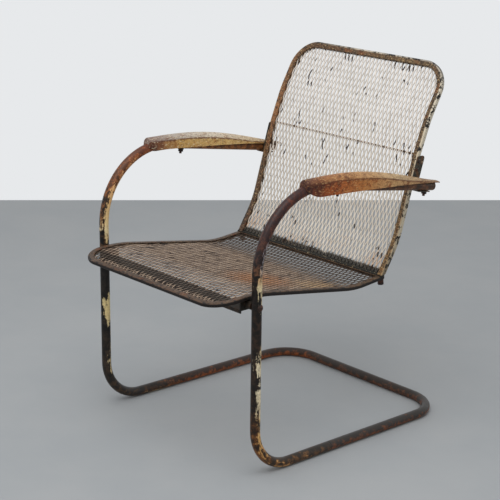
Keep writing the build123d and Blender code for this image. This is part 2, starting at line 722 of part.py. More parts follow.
def stiffener_rod():
    """Round rod behind the mesh at the crease, its ends against the rim."""
    behind = MESH_THICKNESS / 2 + ROD_D / 2 + ROD_GAP
    y, z = offset_line(BACK_LINE, -behind)[2]
    half = PANEL_X - RIM_WIDTH - CONTACT
    return rod_between((0, y, z), (1, 0, 0), -half, half, ROD_D)


def lower_rail():
    """Angle with its foot on the rear of the seat rim and its leg behind the mesh."""
    foot_view = [
        seat_tail(0.0, RIM_THICKNESS / 2),
        seat_tail(RAIL_FOOT, RIM_THICKNESS / 2),
        seat_tail(RAIL_FOOT, FOOT_TOP),
        seat_tail(0.0, FOOT_TOP),
    ]
    lean = radians(BACK_FOOT_LEAN)
    angle = lean + SEAT_TAIL_ANGLE

    def leg_corner(along, front):
        y = BACK_FOOT[0] + along * sin(lean) - front * cos(lean)
        return y, BACK_FOOT[1] + along * cos(lean) + front * sin(lean)

    def sunk(front):
        return (-RAIL_SHEET / 2 - front * sin(angle)) / cos(angle)

    near = -MESH_THICKNESS / 2 - CONTACT
    far = near - RAIL_SHEET
    leg_view = [
        leg_corner(sunk(near), near),
        leg_corner(RAIL_HEIGHT, near),
        leg_corner(RAIL_HEIGHT, far),
        leg_corner(sunk(far), far),
    ]
    foot = side_plate(foot_view, -PANEL_X, PANEL_X) & through_seat(seat_outline(0.0))
    leg_x = PANEL_X - RIM_WIDTH - CONTACT
    rail = foot + side_plate(leg_view, -leg_x, leg_x)
    hole = rod_between(
        corner_bolt_spot(0.0), SEAT_DROP, -2 * FOOT_TOP, 0, CORNER_BOLT_D + THREAD_CLEARANCE
    )
    return rail - hole - mirrored(hole)


def side_plate(corners, x_from, x_to):
    """Plate with a side-view outline between two places across the chair."""
    face = make_face(Polyline(*[(x_from, y, z) for y, z in corners], close=True))
    return extrude(face, amount=x_to - x_from, dir=(1, 0, 0))


def corner_bolt():
    under = -RIM_THICKNESS / 2 - CORNER_BUSH_HEIGHT
    length = FOOT_TOP - CONTACT - under
    up = tuple(-c for c in SEAT_DROP)
    shank = rod_between(corner_bolt_spot(under), up, 0, length, CORNER_BOLT_D)
    head = hexagon(corner_bolt_spot(under), SEAT_DROP, CORNER_HEAD_AF, CORNER_HEAD_HEIGHT)
    return shank + head


def corner_bush():
    seat = corner_bolt_spot(-RIM_THICKNESS / 2)
    bore = CORNER_BOLT_D + HOLE_CLEARANCE
    return washer(seat, SEAT_DROP, CORNER_BUSH_D, bore, CORNER_BUSH_HEIGHT)


# Back brackets

def rivet_spots():
    """Places of the rivets on the side of the rim, on the middle of its band."""
    foot = arm_point(arm_s(STUD_REAR), -TUBE_R)[1] - BACK_FOOT[1]
    rises = [foot + RIVET_FIRST, foot + RIVET_FIRST + RIVET_PITCH]
    return [(PANEL_X, *back_point(rise)) for rise in rises]


def back_bracket():
    """Plate up the side of the rim, with a foot turned out under the arm tube."""
    stud = arm_s(STUD_REAR)
    top = -TUBE_R - CONTACT
    base = top - BRACKET_SHEET
    foot_z = arm_point(stud, top)[1]

    def beside_rim(z, behind):
        return back_point(z - BACK_FOOT[1])[0] + behind, z

    front = arm_s(beside_rim(foot_z, 0.0)[0])
    rear = arm_s(beside_rim(foot_z, BRACKET_BEHIND)[0])
    heel = stud + BRACKET_HEEL
    foot_view = [arm_point(front, top), arm_point(heel, top), arm_point(heel, base), arm_point(front, base)]
    foot = side_plate(foot_view, PANEL_X, SIDE_X + BRACKET_TOE)
    crown = foot_z + BRACKET_TOP
    plate_view = [
        arm_point(front, base),
        arm_point(rear, base),
        beside_rim(crown, BRACKET_BEHIND),
        beside_rim(crown, -BRACKET_AHEAD),
        beside_rim(foot_z + TUBE_OD, -BRACKET_AHEAD),
    ]
    plate = side_plate(plate_view, PANEL_X, PANEL_X + BRACKET_SHEET)
    plate = fillet(plate.edges().filter_by(Axis.X).group_by(Axis.Z)[-1], BRACKET_CORNER_R)
    bracket = foot + plate
    bracket = drilled(bracket, below_arm(STUD_REAR, 0.0), ARM_UP, STUD_D + HOLE_CLEARANCE, TUBE_OD)
    for spot in rivet_spots():
        bracket = drilled(bracket, spot, (1, 0, 0), RIVET_D + THREAD_CLEARANCE, 4 * BRACKET_SHEET)
    return bracket


def rivet(spot):
    x, y, z = spot
    seat = (x + BRACKET_SHEET, y, z)
    length = BRACKET_SHEET + RIM_WALL
    return domed_bolt(seat, (-1, 0, 0), RIVET_D, length, RIVET_HEAD_D, RIVET_HEAD_HEIGHT)


# Every piece, under the name of its file

def both_sides(solids):
    """A group of solids with their mirror images."""
    right = [mirrored(solid) for solid in solids]
    return Compound([*solids, *right])


PAIRS = {
    "front_tube": front_tube,
    "corner_tube": corner_tube,
    "arm_cover": arm_cover,
    "leg_spacer": leg_spacer,
    "back_bracket": back_bracket,
}
SINGLES = {
    "rear_cross_tube": rear_cross_tube,
    "seat_rim": seat_rim,
    "seat_mesh": seat_mesh,
    "seat_crossbar": seat_crossbar,
    "back_rim": back_rim,
    "back_mesh": back_mesh,
    "back_stiffener_rod": stiffener_rod,
    "back_lower_rail": lower_rail,
}
FASTENERS = {
    "arm_studs": lambda: [arm_stud(depth) for depth in STUD_DEPTHS],
    "arm_washers": lambda: [arm_washer()],
    "arm_nuts": lambda: [arm_nut(depth) for depth in STUD_DEPTHS],
    "leg_bolts": lambda: [leg_bolt()],
    "leg_washers": lambda: [leg_washer()],
    "leg_nuts": lambda: [leg_nut()],
    "bracket_rivets": lambda: [rivet(spot) for spot in rivet_spots()],
    "corner_bolts": lambda: [corner_bolt()],
    "corner_bushes": lambda: [corner_bush()],
}

os.makedirs("parts", exist_ok=True)
for name, make in PAIRS.items():
    left = make()
    write(left, f"left_{name}")
    write(mirrored(left), f"right_{name}")
for name, make in SINGLES.items():
    write(make(), name)
for name, make in FASTENERS.items():
    write(both_sides(make()), name)
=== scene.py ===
"""Weathered cantilever lounge chair: painted tube, expanded-metal seat and back, sheet arm covers."""

import math

import bmesh
import bpy
import numpy as np
from mathutils import Matrix, Vector


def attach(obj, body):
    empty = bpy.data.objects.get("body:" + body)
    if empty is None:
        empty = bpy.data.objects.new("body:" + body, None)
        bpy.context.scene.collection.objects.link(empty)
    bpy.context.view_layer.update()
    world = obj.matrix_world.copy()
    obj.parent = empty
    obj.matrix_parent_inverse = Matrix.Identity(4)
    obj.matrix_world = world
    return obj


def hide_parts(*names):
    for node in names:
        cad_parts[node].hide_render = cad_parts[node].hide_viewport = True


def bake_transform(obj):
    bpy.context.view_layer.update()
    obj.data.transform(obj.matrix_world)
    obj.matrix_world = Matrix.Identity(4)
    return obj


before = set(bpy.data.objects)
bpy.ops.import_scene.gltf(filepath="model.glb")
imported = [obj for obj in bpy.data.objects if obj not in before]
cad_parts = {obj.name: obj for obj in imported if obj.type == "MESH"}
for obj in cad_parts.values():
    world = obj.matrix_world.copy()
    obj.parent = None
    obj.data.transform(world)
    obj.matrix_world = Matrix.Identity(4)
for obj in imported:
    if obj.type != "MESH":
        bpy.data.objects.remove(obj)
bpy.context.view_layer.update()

# Sizes in millimetres, as in the part's source. Depths run rearwards from the foot of the leg line.
MM = 0.001
TUBE_R = 11.1
TUBE_BORE_R = 9.3
SPLICE_CHAMFER = 0.7
SIDE_X = 268.7
BASE_DEPTH = 623.0
FLOOR_BEND_R = 102.0
REAR_BEND_R = 90.0
ARM_BEND_R = 170.0
ARM_HEIGHT = 658.0
RUNNER_SPLICE = 229.0
REAR_SPLICE_X = 174.7
LEAN = math.radians(1.3)
SLOPE = math.radians(7.8)
ARM_REACH = 537.161
PANEL_X = 250.0
RIM_WIDTH = 15.0
SEAT_RIM_THICKNESS = 9.0
BACK_RIM_THICKNESS = 12.0
GROOVE = 3.8
RIM_WALL = 2.6
RIM_ROUND = 2.8
RIM_MIDDLE = 7.0
LIP_R = 1.0
LIP_MID = 0.3
GROOVE_EDGE = (0.4, 0.2)
SEAT_LINE = [(-101.0, 398.5), (-10.0, 415.5), (316.0, 367.5), (414.0, 378.0)]
SEAT_RADII = [390.0, 260.0]
SEAT_CORNERS = (62.0, 6.0)
FOOT_TOP = 7.0
BACK_SETBACK = 5.5
BACK_RISES = (73.0, 198.0, 80.0, 121.0)
BACK_LEANS = (31.0, 15.7, 20.9, 28.3)
BACK_RADII = [230.0, 120.0, 300.0]
BACK_CORNER_R = 72.0
COVER_SHEET = 1.5
COVER_NOSE = 132.0
COVER_LENGTH = 435.9946
COVER_RISE = 18.6
COVER_PEAK = 0.44
COVER_FALL = 1.3
COVER_TAPER = 2.2
COVER_END_WIDTH = 25.4
COVER_BULGE = 18.0
COVER_CROWN = 10.0
CROWN_SHARE = 0.6
COVER_FLANGE_REAR = 9.5
COVER_FLANGE_FALL = 27.0
COVER_OUTER_FALL = 10.0
COVER_NOSE_LOW = 9.0
COVER_NOSE_SHARE = 0.11
COVER_SEAT_GAP = 0.3
SHIFT = -266.55

# Expanded metal: pitch, width and thickness of the strands, and how far each strand leans
DIAMOND_ACROSS = 11.75
DIAMOND_ALONG = 32.7
SEAT_STRAND = (1.9, 1.4)
BACK_STRAND = (3.2, 1.4)
SEAT_TILT = math.radians(-10)
BACK_TILT = math.radians(6)
SEAT_SEED = 11
BACK_SEED = 23
BOND = 6.0                # length over which two strands are joined
BOND_OVERLAP = 0.97       # a strand's middle is this share of half its width from the bond, so that two overlap
NET_INSET = 4.0           # from a panel's edge to its net, inside the rim
BACK_NET_FOOT = 1.0

# Steps of the swept meshes, and the distance in metres below which doubled points are one
PANEL_STEP = 4.0
RIM_STEP = 5.0
WELD = 1e-7


# Lines, sweeps and meshes

def unit(v):
    return v / np.linalg.norm(v)


def rounded_line(corners, radii, step):
    """Points, tangents and lengths along a line of straight runs with rounded corners."""
    corners = [np.array(c, float) for c in corners]
    points, tangents = [], []

    def straight(a, b):
        length = np.linalg.norm(b - a)
        count = max(int(math.ceil(length / step)), 1)
        for k in range(count):
            if length > 1e-6:
                points.append(a + (b - a) * k / count)
                tangents.append((b - a) / length)

    start = corners[0]
    for before, corner, after, radius in zip(corners, corners[1:], corners[2:], radii):
        into, out = unit(corner - before), unit(after - corner)
        turn = math.atan2(into[0] * out[1] - into[1] * out[0], into @ out)
        reach = radius * math.tan(abs(turn) / 2)
        first = corner - into * reach
        straight(start, first)
        normal = np.array([-into[1], into[0]]) * math.copysign(1, turn)
        centre = first + normal * radius
        count = max(int(math.ceil(radius * abs(turn) / step)), 4)
        for k in range(count):
            a = turn * k / count
            spin = np.array([[math.cos(a), -math.sin(a)], [math.sin(a), math.cos(a)]])
            points.append(centre + spin @ (first - centre))
            tangents.append(spin @ into)
        start = corner + out * reach
    straight(start, corners[-1])
    points.append(corners[-1])
    tangents.append(unit(corners[-1] - start))
    points, tangents = np.array(points), np.array(tangents)
    lengths = np.concatenate([[0], np.cumsum(np.linalg.norm(np.diff(points, axis=0), axis=1))])
    return points, tangents, lengths


def grid_faces(rows, columns, loop_rows, first=0):
    """Quads of a grid of points, joined round across each row, and from last to first row where they loop."""
    faces = []
    for r in range(rows if loop_rows else rows - 1):
        for c in range(columns):
            r1, c1 = (r + 1) % rows, (c + 1) % columns
            faces.append([first + r * columns + c, first + r * columns + c1,
                          first + r1 * columns + c1, first + r1 * columns + c])
    return faces


def add_piece(name, points, faces, material, slot, crease=40.0, flank=None, **attributes):
    """New mesh from millimetre points, with its rest places and other values kept on its points."""
    points = (np.asarray(points, float) + [0, SHIFT, 0]) * MM
    mesh = bpy.data.meshes.new(name)
    mesh.from_pydata(points.tolist(), [], faces)
    attributes["rest"] = points
    for key, values in attributes.items():
        values = np.asarray(values, np.float32)
        kind, field = ("FLOAT_VECTOR", "vector") if values.ndim == 2 else ("FLOAT", "value")
        layer = mesh.attributes.new(key, kind, "POINT")
        layer.data.foreach_set(field, values.ravel())
    if flank is not None:
        layer = mesh.attributes.new("flank", "FLOAT", "FACE")
        layer.data.foreach_set("value", np.asarray(flank, np.float32))
    joined = bmesh.new()
    joined.from_mesh(mesh)
    bmesh.ops.remove_doubles(joined, verts=joined.verts, dist=WELD)
    joined.to_mesh(mesh)
    joined.free()
    mesh.polygons.foreach_set("use_smooth", [True] * len(mesh.polygons))
    mesh.set_sharp_from_angle(angle=math.radians(crease))
    mesh.materials.append(material)
    mesh.validate()
    made = bpy.data.objects.new(name, mesh)
    bpy.context.scene.collection.objects.link(made)
    return made


# Places on the arm

ARM_VERTEX = np.array([-(ARM_HEIGHT - TUBE_R) * math.tan(LEAN), ARM_HEIGHT])


def arm_point(s, h=0.0):
    """Depth and height at a place along the arm, and above its line."""
    y = ARM_VERTEX[0] + s * math.cos(SLOPE) + h * math.sin(SLOPE)
    return y, ARM_VERTEX[1] - s * math.sin(SLOPE) + h * math.cos(SLOPE)


def arm_s(y):
    return (y - ARM_VERTEX[0]) / math.cos(SLOPE)


# Node graphs

def linear(colour):
    """An 8-bit screen colour as linear light."""
    parts = [c / 255 for c in colour]
    return tuple(p / 12.92 if p < 0.04045 else ((p + 0.055) / 1.055) ** 2.4 for p in parts) + (1.0,)


class Graph:
    """A material's nodes, built one call at a time."""

    def __init__(self, name):
        self.material = bpy.data.materials.new(name)
        self.material.use_nodes = True
        self.tree = self.material.node_tree
        self.tree.nodes.clear()

    def feed(self, socket, value):
        if isinstance(value, bpy.types.NodeSocket):
            self.tree.links.new(value, socket)
        else:
            socket.default_value = value

    def node(self, kind, settings, inputs):
        made = self.tree.nodes.new(kind)
        for key, value in settings.items():
            setattr(made, key, value)
        for key, value in inputs.items():
            self.feed(made.inputs[key], value)
        return made

    def attribute(self, name, output="Vector"):
        return self.node("ShaderNodeAttribute", {"attribute_name": name}, {}).outputs[output]

    def place(self):
        """Where a carried-over CAD solid is, in its own frame."""
        return self.node("ShaderNodeTexCoord", {}, {}).outputs["Object"]

    def math(self, operation, a, b=0.0):
        return self.node("ShaderNodeMath", {"operation": operation}, {0: a, 1: b}).outputs[0]

    def scaled(self, vector, scale):
        settings = {"operation": "MULTIPLY"}
        return self.node("ShaderNodeVectorMath", settings, {0: vector, 1: scale}).outputs["Vector"]

    def dot(self, vector, way):
        settings = {"operation": "DOT_PRODUCT"}
        return self.node("ShaderNodeVectorMath", settings, {0: vector, 1: way}).outputs["Value"]

    def part(self, vector, axis):
        return self.node("ShaderNodeSeparateXYZ", {}, {0: vector}).outputs[axis]

    def noise(self, vector, scale, detail=5.0, rough=0.6, twist=0.0):
        inputs = {"Vector": vector, "Scale": scale, "Detail": detail, "Roughness": rough, "Distortion": twist}
        return self.node("ShaderNodeTexNoise", {}, inputs).outputs["Fac"]

    def mask(self, value, low, high):
        """0 below low, 1 above high, with a soft step between."""
        settings = {"interpolation_type": "SMOOTHSTEP"}
        inputs = {"Value": value, "From Min": low, "From Max": high}
        return self.node("ShaderNodeMapRange", settings, inputs).outputs["Result"]

    def ramp(self, value, stops):
        """Colours or numbers at places along a value."""
        made = self.node("ShaderNodeValToRGB", {}, {"Fac": value})
        ramp = made.color_ramp
        while len(ramp.elements) < len(stops):
            ramp.elements.new(0.5)
        for element, (position, colour) in zip(ramp.elements, stops):
            element.position = position
            grey = not isinstance(colour, tuple)
            element.color = (colour, colour, colour, 1.0) if grey else linear(colour)
        return made.outputs["Color"]

    def mix(self, share, a, b):
        made = self.node("ShaderNodeMix", {"data_type": "RGBA"}, {})
        for socket, value in ((made.inputs[0], share), (made.inputs[6], a), (made.inputs[7], b)):
            self.feed(socket, linear(value) if isinstance(value, tuple) else value)
        return made.outputs[2]

    def finish(self, colour, rough, height, bump=0.4, depth=0.0006, specular=0.25):
        """The shader, with its bump, and the finished material."""
        normal = self.node(
            "ShaderNodeBump", {}, {"Strength": bump, "Distance": depth, "Height": height}
        ).outputs["Normal"]
        inputs = {"Base Color": colour, "Roughness": rough, "Normal": normal}
        shader = self.node("ShaderNodeBsdfPrincipled", {}, inputs)
        shader.inputs["Specular IOR Level"].default_value = specular
        self.node("ShaderNodeOutputMaterial", {}, {"Surface": shader.outputs[0]})
        return self.material


# Tube paint: dark underneath, rust, and a light coat that is worn into streaks; on the near front tube's lower arm
# bend the light coat is a painted highlight

DARK, RUST, COAT_AND_HIGHLIGHT, COVER = range(4)


def tube_paint(name, total, stops, lean=(0, 0, 0), top=0.0):
    """Worn paint whose dark, rust and light coats change along a tube; some light-coat stops are a painted
    highlight.
    """
    g = Graph(name)
    skin, rest, out = g.attribute("skin"), g.attribute("rest"), g.attribute("out")
    wander = g.math("MULTIPLY", g.math("SUBTRACT", g.noise(rest, 40.0, 3.0), 0.5), 0.05)
    along = g.math("ADD", g.attribute("along", "Fac"), wander)

    def channel(index):
        return [(mm / total, row[index]) for mm, row in stops]

    streak = g.noise(g.scaled(skin, (0.13, 1.0, 1.0)), 140.0, 6.0, 0.65, 0.3)
    patch = g.noise(skin, 75.0, 7.0, 0.68, 0.4)
    fine = g.noise(rest, 620.0, 4.0, 0.7)
    flecks = g.noise(rest, 300.0, 3.0, 0.6)

    sky = g.math("MULTIPLY", g.part(out, 2), top)
    rusty = g.math("SUBTRACT", g.math("ADD", patch, g.math("MULTIPLY", fine, 0.25)), sky)
    ground = g.mix(g.mask(rusty, 0.54, 0.78), g.ramp(along, channel(DARK)), g.ramp(along, channel(RUST)))
    ground = g.mix(g.mask(flecks, 0.60, 0.72), ground, (26, 21, 19))

    cover = g.ramp(along, channel(COVER))
    side = g.dot(out, lean)
    kept = g.math("ADD", g.math("MULTIPLY", streak, 0.62), g.math("MULTIPLY", patch, 0.38))
    kept = g.math("ADD", g.math("ADD", kept, cover), g.math("MULTIPLY", side, 0.12))
    kept = g.math("SUBTRACT", kept, sky)
    coat = g.mask(kept, 0.80, 0.86)
    stain = g.mask(g.noise(rest, 110.0, 5.0, 0.7), 0.42, 0.70)
    # Light coat colour along the tube; on the near front tube's arm bend its stops are a painted highlight
    light = g.mix(g.math("MULTIPLY", stain, 0.55), g.ramp(along, channel(COAT_AND_HIGHLIGHT)), g.ramp(along, channel(RUST)))
    colour = g.mix(coat, ground, light)
    colour = g.mix(g.mask(fine, 0.62, 0.80), colour, (30, 23, 20))
    rough = g.math("ADD", g.math("MULTIPLY", patch, 0.45), 0.20)
    height = g.math("ADD", g.math("MULTIPLY", coat, 0.7), g.math("MULTIPLY", fine, 0.5))
    return g.finish(colour, rough, height)


NEAR_TUBE = [
    (0, ((72, 54, 42), (126, 84, 58), (186, 166, 136), 0.16)),
    (180, ((50, 36, 28), (112, 68, 42), (176, 140, 96), 0.10)),
    (353, ((52, 30, 27), (112, 60, 36), (150, 105, 62), 0.02)),
    (452, ((54, 32, 30), (112, 58, 36), (120, 88, 72), 0.02)),
    # At 553 and 625 mm the light coat is purple-grey and bluish-grey: a painted highlight on the lower arm bend,
    # not paint
    (553, ((46, 31, 31), (98, 58, 42), (132, 112, 112), 0.10)),
    (625, ((32, 26, 26), (80, 54, 44), (182, 184, 190), 0.18)),
    (648, ((28, 22, 19), (110, 74, 52), (214, 172, 124), 0.27)),
    (668, ((20, 16, 14), (48, 36, 28), (232, 212, 168), 0.31)),
    (712, ((20, 16, 14), (48, 36, 28), (234, 216, 172), 0.22)),
    (752, ((22, 18, 16), (64, 46, 34), (200, 170, 120), 0.02)),
    (800, ((24, 20, 17), (60, 44, 33), (214, 186, 136), 0.18)),
    (850, ((22, 18, 16), (60, 44, 33), (238, 224, 190), 0.32)),
    (876, ((22, 18, 16), (60, 44, 33), (238, 224, 190), 0.30)),
    (886, ((30, 25, 22), (50, 40, 32), (120, 100, 80), 0.00)),
    (902, ((22, 18, 16), (64, 46, 34), (238, 224, 190), 0.30)),
    (950, ((26, 21, 18), (80, 54, 36), (236, 218, 180), 0.30)),
    (984, ((40, 30, 23), (110, 70, 38), (224, 186, 124), 0.24)),
    (1044, ((52, 38, 27), (140, 88, 44), (222, 170, 100), 0.24)),
    (1133, ((50, 40, 30), (120, 82, 46), (200, 150, 92), 0.18)),
    (1287, ((46, 42, 38), (104, 76, 52), (170, 132, 88), 0.12)),
]
FAR_TUBE = [
    (0, ((98, 62, 38), (168, 108, 60), (206, 158, 102), 0.16)),
    (300, ((92, 58, 36), (160, 102, 58), (206, 158, 102), 0.14)),
    (363, ((52, 30, 28), (112, 66, 46), (170, 120, 84), 0.02)),
    (430, ((96, 54, 36), (160, 92, 54), (206, 150, 100), 0.12)),
    (520, ((92, 58, 38), (168, 102, 60), (222, 172, 118), 0.22)),
    (587, ((40, 30, 23), (164, 104, 60), (226, 182, 124), 0.30)),
    (645, ((26, 22, 18), (150, 104, 64), (232, 204, 148), 0.33)),
    (668, ((22, 18, 16), (120, 86, 56), (236, 216, 168), 0.35)),
    (692, ((20, 17, 16), (90, 66, 44), (226, 194, 138), 0.24)),
    (722, ((20, 17, 16), (60, 46, 36), (222, 190, 134), 0.10)),
    (738, ((20, 18, 17), (40, 34, 30), (200, 180, 140), -0.10)),
    (806, ((22, 20, 19), (44, 38, 33), (206, 186, 140), -0.04)),
    (832, ((22, 19, 18), (48, 40, 33), (236, 214, 156), 0.35)),
    (868, ((22, 19, 18), (48, 40, 33), (236, 210, 150), 0.37)),
    (892, ((22, 19, 18), (48, 40, 33), (234, 210, 156), 0.26)),
    (926, ((22, 20, 19), (54, 44, 36), (222, 202, 156), 0.16)),
    (994, ((28, 25, 23), (64, 52, 40), (222, 200, 152), 0.18)),
    (1140, ((40, 38, 37), (84, 64, 46), (204, 170, 118), 0.10)),
    (1214, ((40, 35, 32), (112, 74, 46), (212, 180, 128), 0.18)),
    (1287, ((50, 37, 30), (140, 84, 46), (206, 160, 104), 0.15)),
]


def plain_tube(*row):
    """Stops of a paint that is the same all along, on a length of one."""
    return [(0, row), (1.0, row)]


# Tubes

TUBE_SIDES = 32
BEND_STEP = 6.0
SKIN_STEP = 3.7           # metres between two tubes' places in the noise of their paint


def add_tube(name, corners, radii, to_space, index, material):
    """Hollow tube along a bent line, its ends chamfered for the splices."""
    points, tangents, lengths = rounded_line(corners, radii, BEND_STEP)
    total = lengths[-1]
    stations = [(points[0], tangents[0], 0.0, TUBE_R - SPLICE_CHAMFER)]
    stations.append((points[0] + tangents[0] * SPLICE_CHAMFER, tangents[0], SPLICE_CHAMFER, TUBE_R))
    stations += [(p, t, s, TUBE_R) for p, t, s in zip(points, tangents, lengths)][1:-1]
    stations.append((points[-1] - tangents[-1] * SPLICE_CHAMFER, tangents[-1], total - SPLICE_CHAMFER, TUBE_R))
    stations.append((points[-1], tangents[-1], total, TUBE_R - SPLICE_CHAMFER))
    inner = [(p, t, s, TUBE_BORE_R) for p, t, s, _ in stations[::-1]]
    turns = np.arange(TUBE_SIDES) * 2 * math.pi / TUBE_SIDES
    places, skin, along, out = [], [], [], []
    for p, t, s, r in stations + inner:
        normal = np.array([-t[1], t[0]])
        for a in turns:
            flat = p + normal * r * math.cos(a)
            places.append(to_space(flat[0], flat[1], r * math.sin(a)))
            skin.append((s * MM + SKIN_STEP * index, r * MM * math.cos(a), r * MM * math.sin(a)))
            along.append(s / total)
            way = normal * math.cos(a)
            out.append(np.array(to_space(way[0], way[1], math.sin(a))) - to_space(0, 0, 0))
    faces = grid_faces(2 * len(stations), TUBE_SIDES, True)
    return add_piece(name, places, faces, material, "frame_tube", skin=skin, along=along, out=out)


FRONT_LENGTH = 1286.8     # along a front tube, as the stops of its paint are
FRONT_PATH = [arm_point(arm_s(ARM_REACH)), tuple(ARM_VERTEX), (0, TUBE_R), (RUNNER_SPLICE, TUBE_R)]
WEATHER_SIDE = (0.68, 0.73, 0.0)

for side, sign, stops in (("left", 1, NEAR_TUBE), ("right", -1, FAR_TUBE)):
    paint = tube_paint(f"{side} front tube paint", FRONT_LENGTH, stops, WEATHER_SIDE, 0.10)
    made = add_tube(
        f"tube_{side}_front", FRONT_PATH, [ARM_BEND_R, FLOOR_BEND_R],
        lambda p, q, b, x=sign * SIDE_X: (x + b, p, q), 1 + sign, paint,
    )
    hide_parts(f"{side}_front_tube")
    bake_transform(made)

CORNER_LOOKS = {
    "left": plain_tube((50, 46, 43), (118, 72, 46), (160, 118, 80), 0.04),
    "right": plain_tube((54, 42, 36), (150, 84, 46), (176, 116, 70), 0.08),
}
for side, sign in (("left", 1), ("right", -1)):
    paint = tube_paint(f"{side} corner tube paint", 1.0, CORNER_LOOKS[side], top=0.16)
    path = [(sign * SIDE_X, RUNNER_SPLICE), (sign * SIDE_X, BASE_DEPTH), (sign * REAR_SPLICE_X, BASE_DEPTH)]
    made = add_tube(
        f"tube_{side}_corner", path, [REAR_BEND_R],
        lambda p, q, b: (p, q, TUBE_R + b), 5 + sign, paint,
    )
    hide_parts(f"{side}_corner_tube")
    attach(made, "base")

paint = tube_paint(
    "rear tube paint", 1.0, plain_tube((52, 45, 40), (112, 72, 50), (150, 108, 78), 0.02), top=0.16
)
made = add_tube(
    "tube_rear", [(-REAR_SPLICE_X, BASE_DEPTH), (REAR_SPLICE_X, BASE_DEPTH)], [],
    lambda p, q, b: (p, q, TUBE_R + b), 9, paint,
)
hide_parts("rear_cross_tube")
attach(made, "base")


# Arm covers

COVER_STATIONS = 72
CROWN_POINTS = 15
FLANGE_POINTS = 6
FOLD = 1.4
NOSE_ROUND = 2.5
NOSE_STEPS = 5
NOTCH = (11.4, 12.4, -14.0)   # half width, half height and height of the middle of the opening for the tube


def swell(share, fall):
    """Rise from nothing at the nose to one at the peak, and fall to nothing at the rear."""
    if share < COVER_PEAK:
        return math.sin(math.pi / 2 * share / COVER_PEAK)
    return math.cos(math.pi / 2 * (share - COVER_PEAK) / (1 - COVER_PEAK)) ** fall


def cover_outline(share, shrink):
    """Open section of a cover, from its outer flange's lower edge over the crown to its inner flange's."""
    half = (COVER_END_WIDTH + COVER_BULGE * swell(share, COVER_TAPER)) / 2 - shrink
    top = TUBE_R + COVER_SEAT_GAP + COVER_SHEET + COVER_RISE * swell(share, COVER_FALL) - shrink
    inner = COVER_FLANGE_REAR - COVER_FLANGE_FALL * (1 - share) ** 2
    outer = inner - COVER_OUTER_FALL * (1 - share)
    depth = math.sin(math.pi / 2 * min(share / COVER_NOSE_SHARE, 1.0))
    inner, outer = (-COVER_NOSE_LOW + (low + COVER_NOSE_LOW) * depth for low in (inner, outer))
    crown = min(COVER_CROWN, CROWN_SHARE * (top - inner))
    shoulder = top - crown
    radius = (half**2 + crown**2) / (2 * crown)
    reach = math.asin(half / radius)
    sides = []
    for way, low in ((1, outer), (-1, inner)):
        rows = [(way * half, low + (shoulder - FOLD - low) * k / FLANGE_POINTS, -1 + k / FLANGE_POINTS)
                for k in range(FLANGE_POINTS + 1)]
        sides.append(rows + [(way * (half - FOLD * 0.25), shoulder - FOLD * 0.1, 0.0)])
    arch = []
    for k in range(CROWN_POINTS):
        a = reach * (1 - FOLD / half) * (1 - 2 * k / (CROWN_POINTS - 1))
        arch.append((radius * math.sin(a), top - radius + radius * math.cos(a), 1 - abs(a) / reach + 0.1))
    return sides[0] + arch + sides[1][::-1]


def nose_notch(tones):
    """Lower edge of the nose wall, which stands astride the tube."""
    wide, high, middle = NOTCH
    reach = math.acos((-COVER_NOSE_LOW - middle) / high)
    turns = np.linspace(reach, -reach, len(tones))
    return [(wide * math.sin(a), middle + high * math.cos(a), tone) for a, tone in zip(turns, tones)]


def cover_rows():
    """Pairs of outer and inner section with their places along the arm, from the nose wall to the rear."""
    shares = [(NOSE_ROUND * (1 - math.cos(a)), NOSE_ROUND * (1 - math.sin(a)))
              for a in np.linspace(0, math.pi / 2, NOSE_STEPS)]
    for k in range(1, COVER_STATIONS):
        along = k / (COVER_STATIONS - 1)
        shares.append((NOSE_ROUND + (COVER_LENGTH - NOSE_ROUND) * along * (0.45 + 0.55 * along), 0.0))
    tones = [tone for _, _, tone in cover_outline(0.0, 0.0)]
    rows = [(0.0, nose_notch(tones), COVER_SHEET, nose_notch(tones))]
    for s, inset in shares:
        inside = COVER_SHEET + s * (COVER_LENGTH - COVER_SHEET) / COVER_LENGTH
        rows.append((s, cover_outline(s / COVER_LENGTH, inset),
                     inside, cover_outline(inside / COVER_LENGTH, COVER_SHEET)))
    return rows


def add_cover(side, sign, material):
    """Crowned sheet with a blunt nose, open below and at the rear."""
    places, tones, shares = [], [], []
    rows = cover_rows()
    for s, outer, inside, inner in rows:
        for at, (x, h, tone) in [(s, point) for point in outer] + [(inside, point) for point in inner[::-1]]:
            places.append((sign * (SIDE_X + x), *arm_point(COVER_NOSE + at, h)))
            tones.append(tone)
            shares.append(s / COVER_LENGTH)
    width = len(outer) * 2
    faces = grid_faces(len(rows), width, False)
    last = (len(rows) - 1) * width
    for c in range(len(outer) - 1):
        faces.append([c, width - 1 - c, width - 2 - c, c + 1])
        faces.append([last + c, last + c + 1, last + width - 2 - c, last + width - 1 - c])
    if sign > 0:
        faces = [face[::-1] for face in faces]
    made = add_piece(f"cover_{side}", places, faces, material, "arm_cover", crease=50, tone=tones, share=shares)
    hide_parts(f"{side}_arm_cover")
    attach(made, "seat_unit")


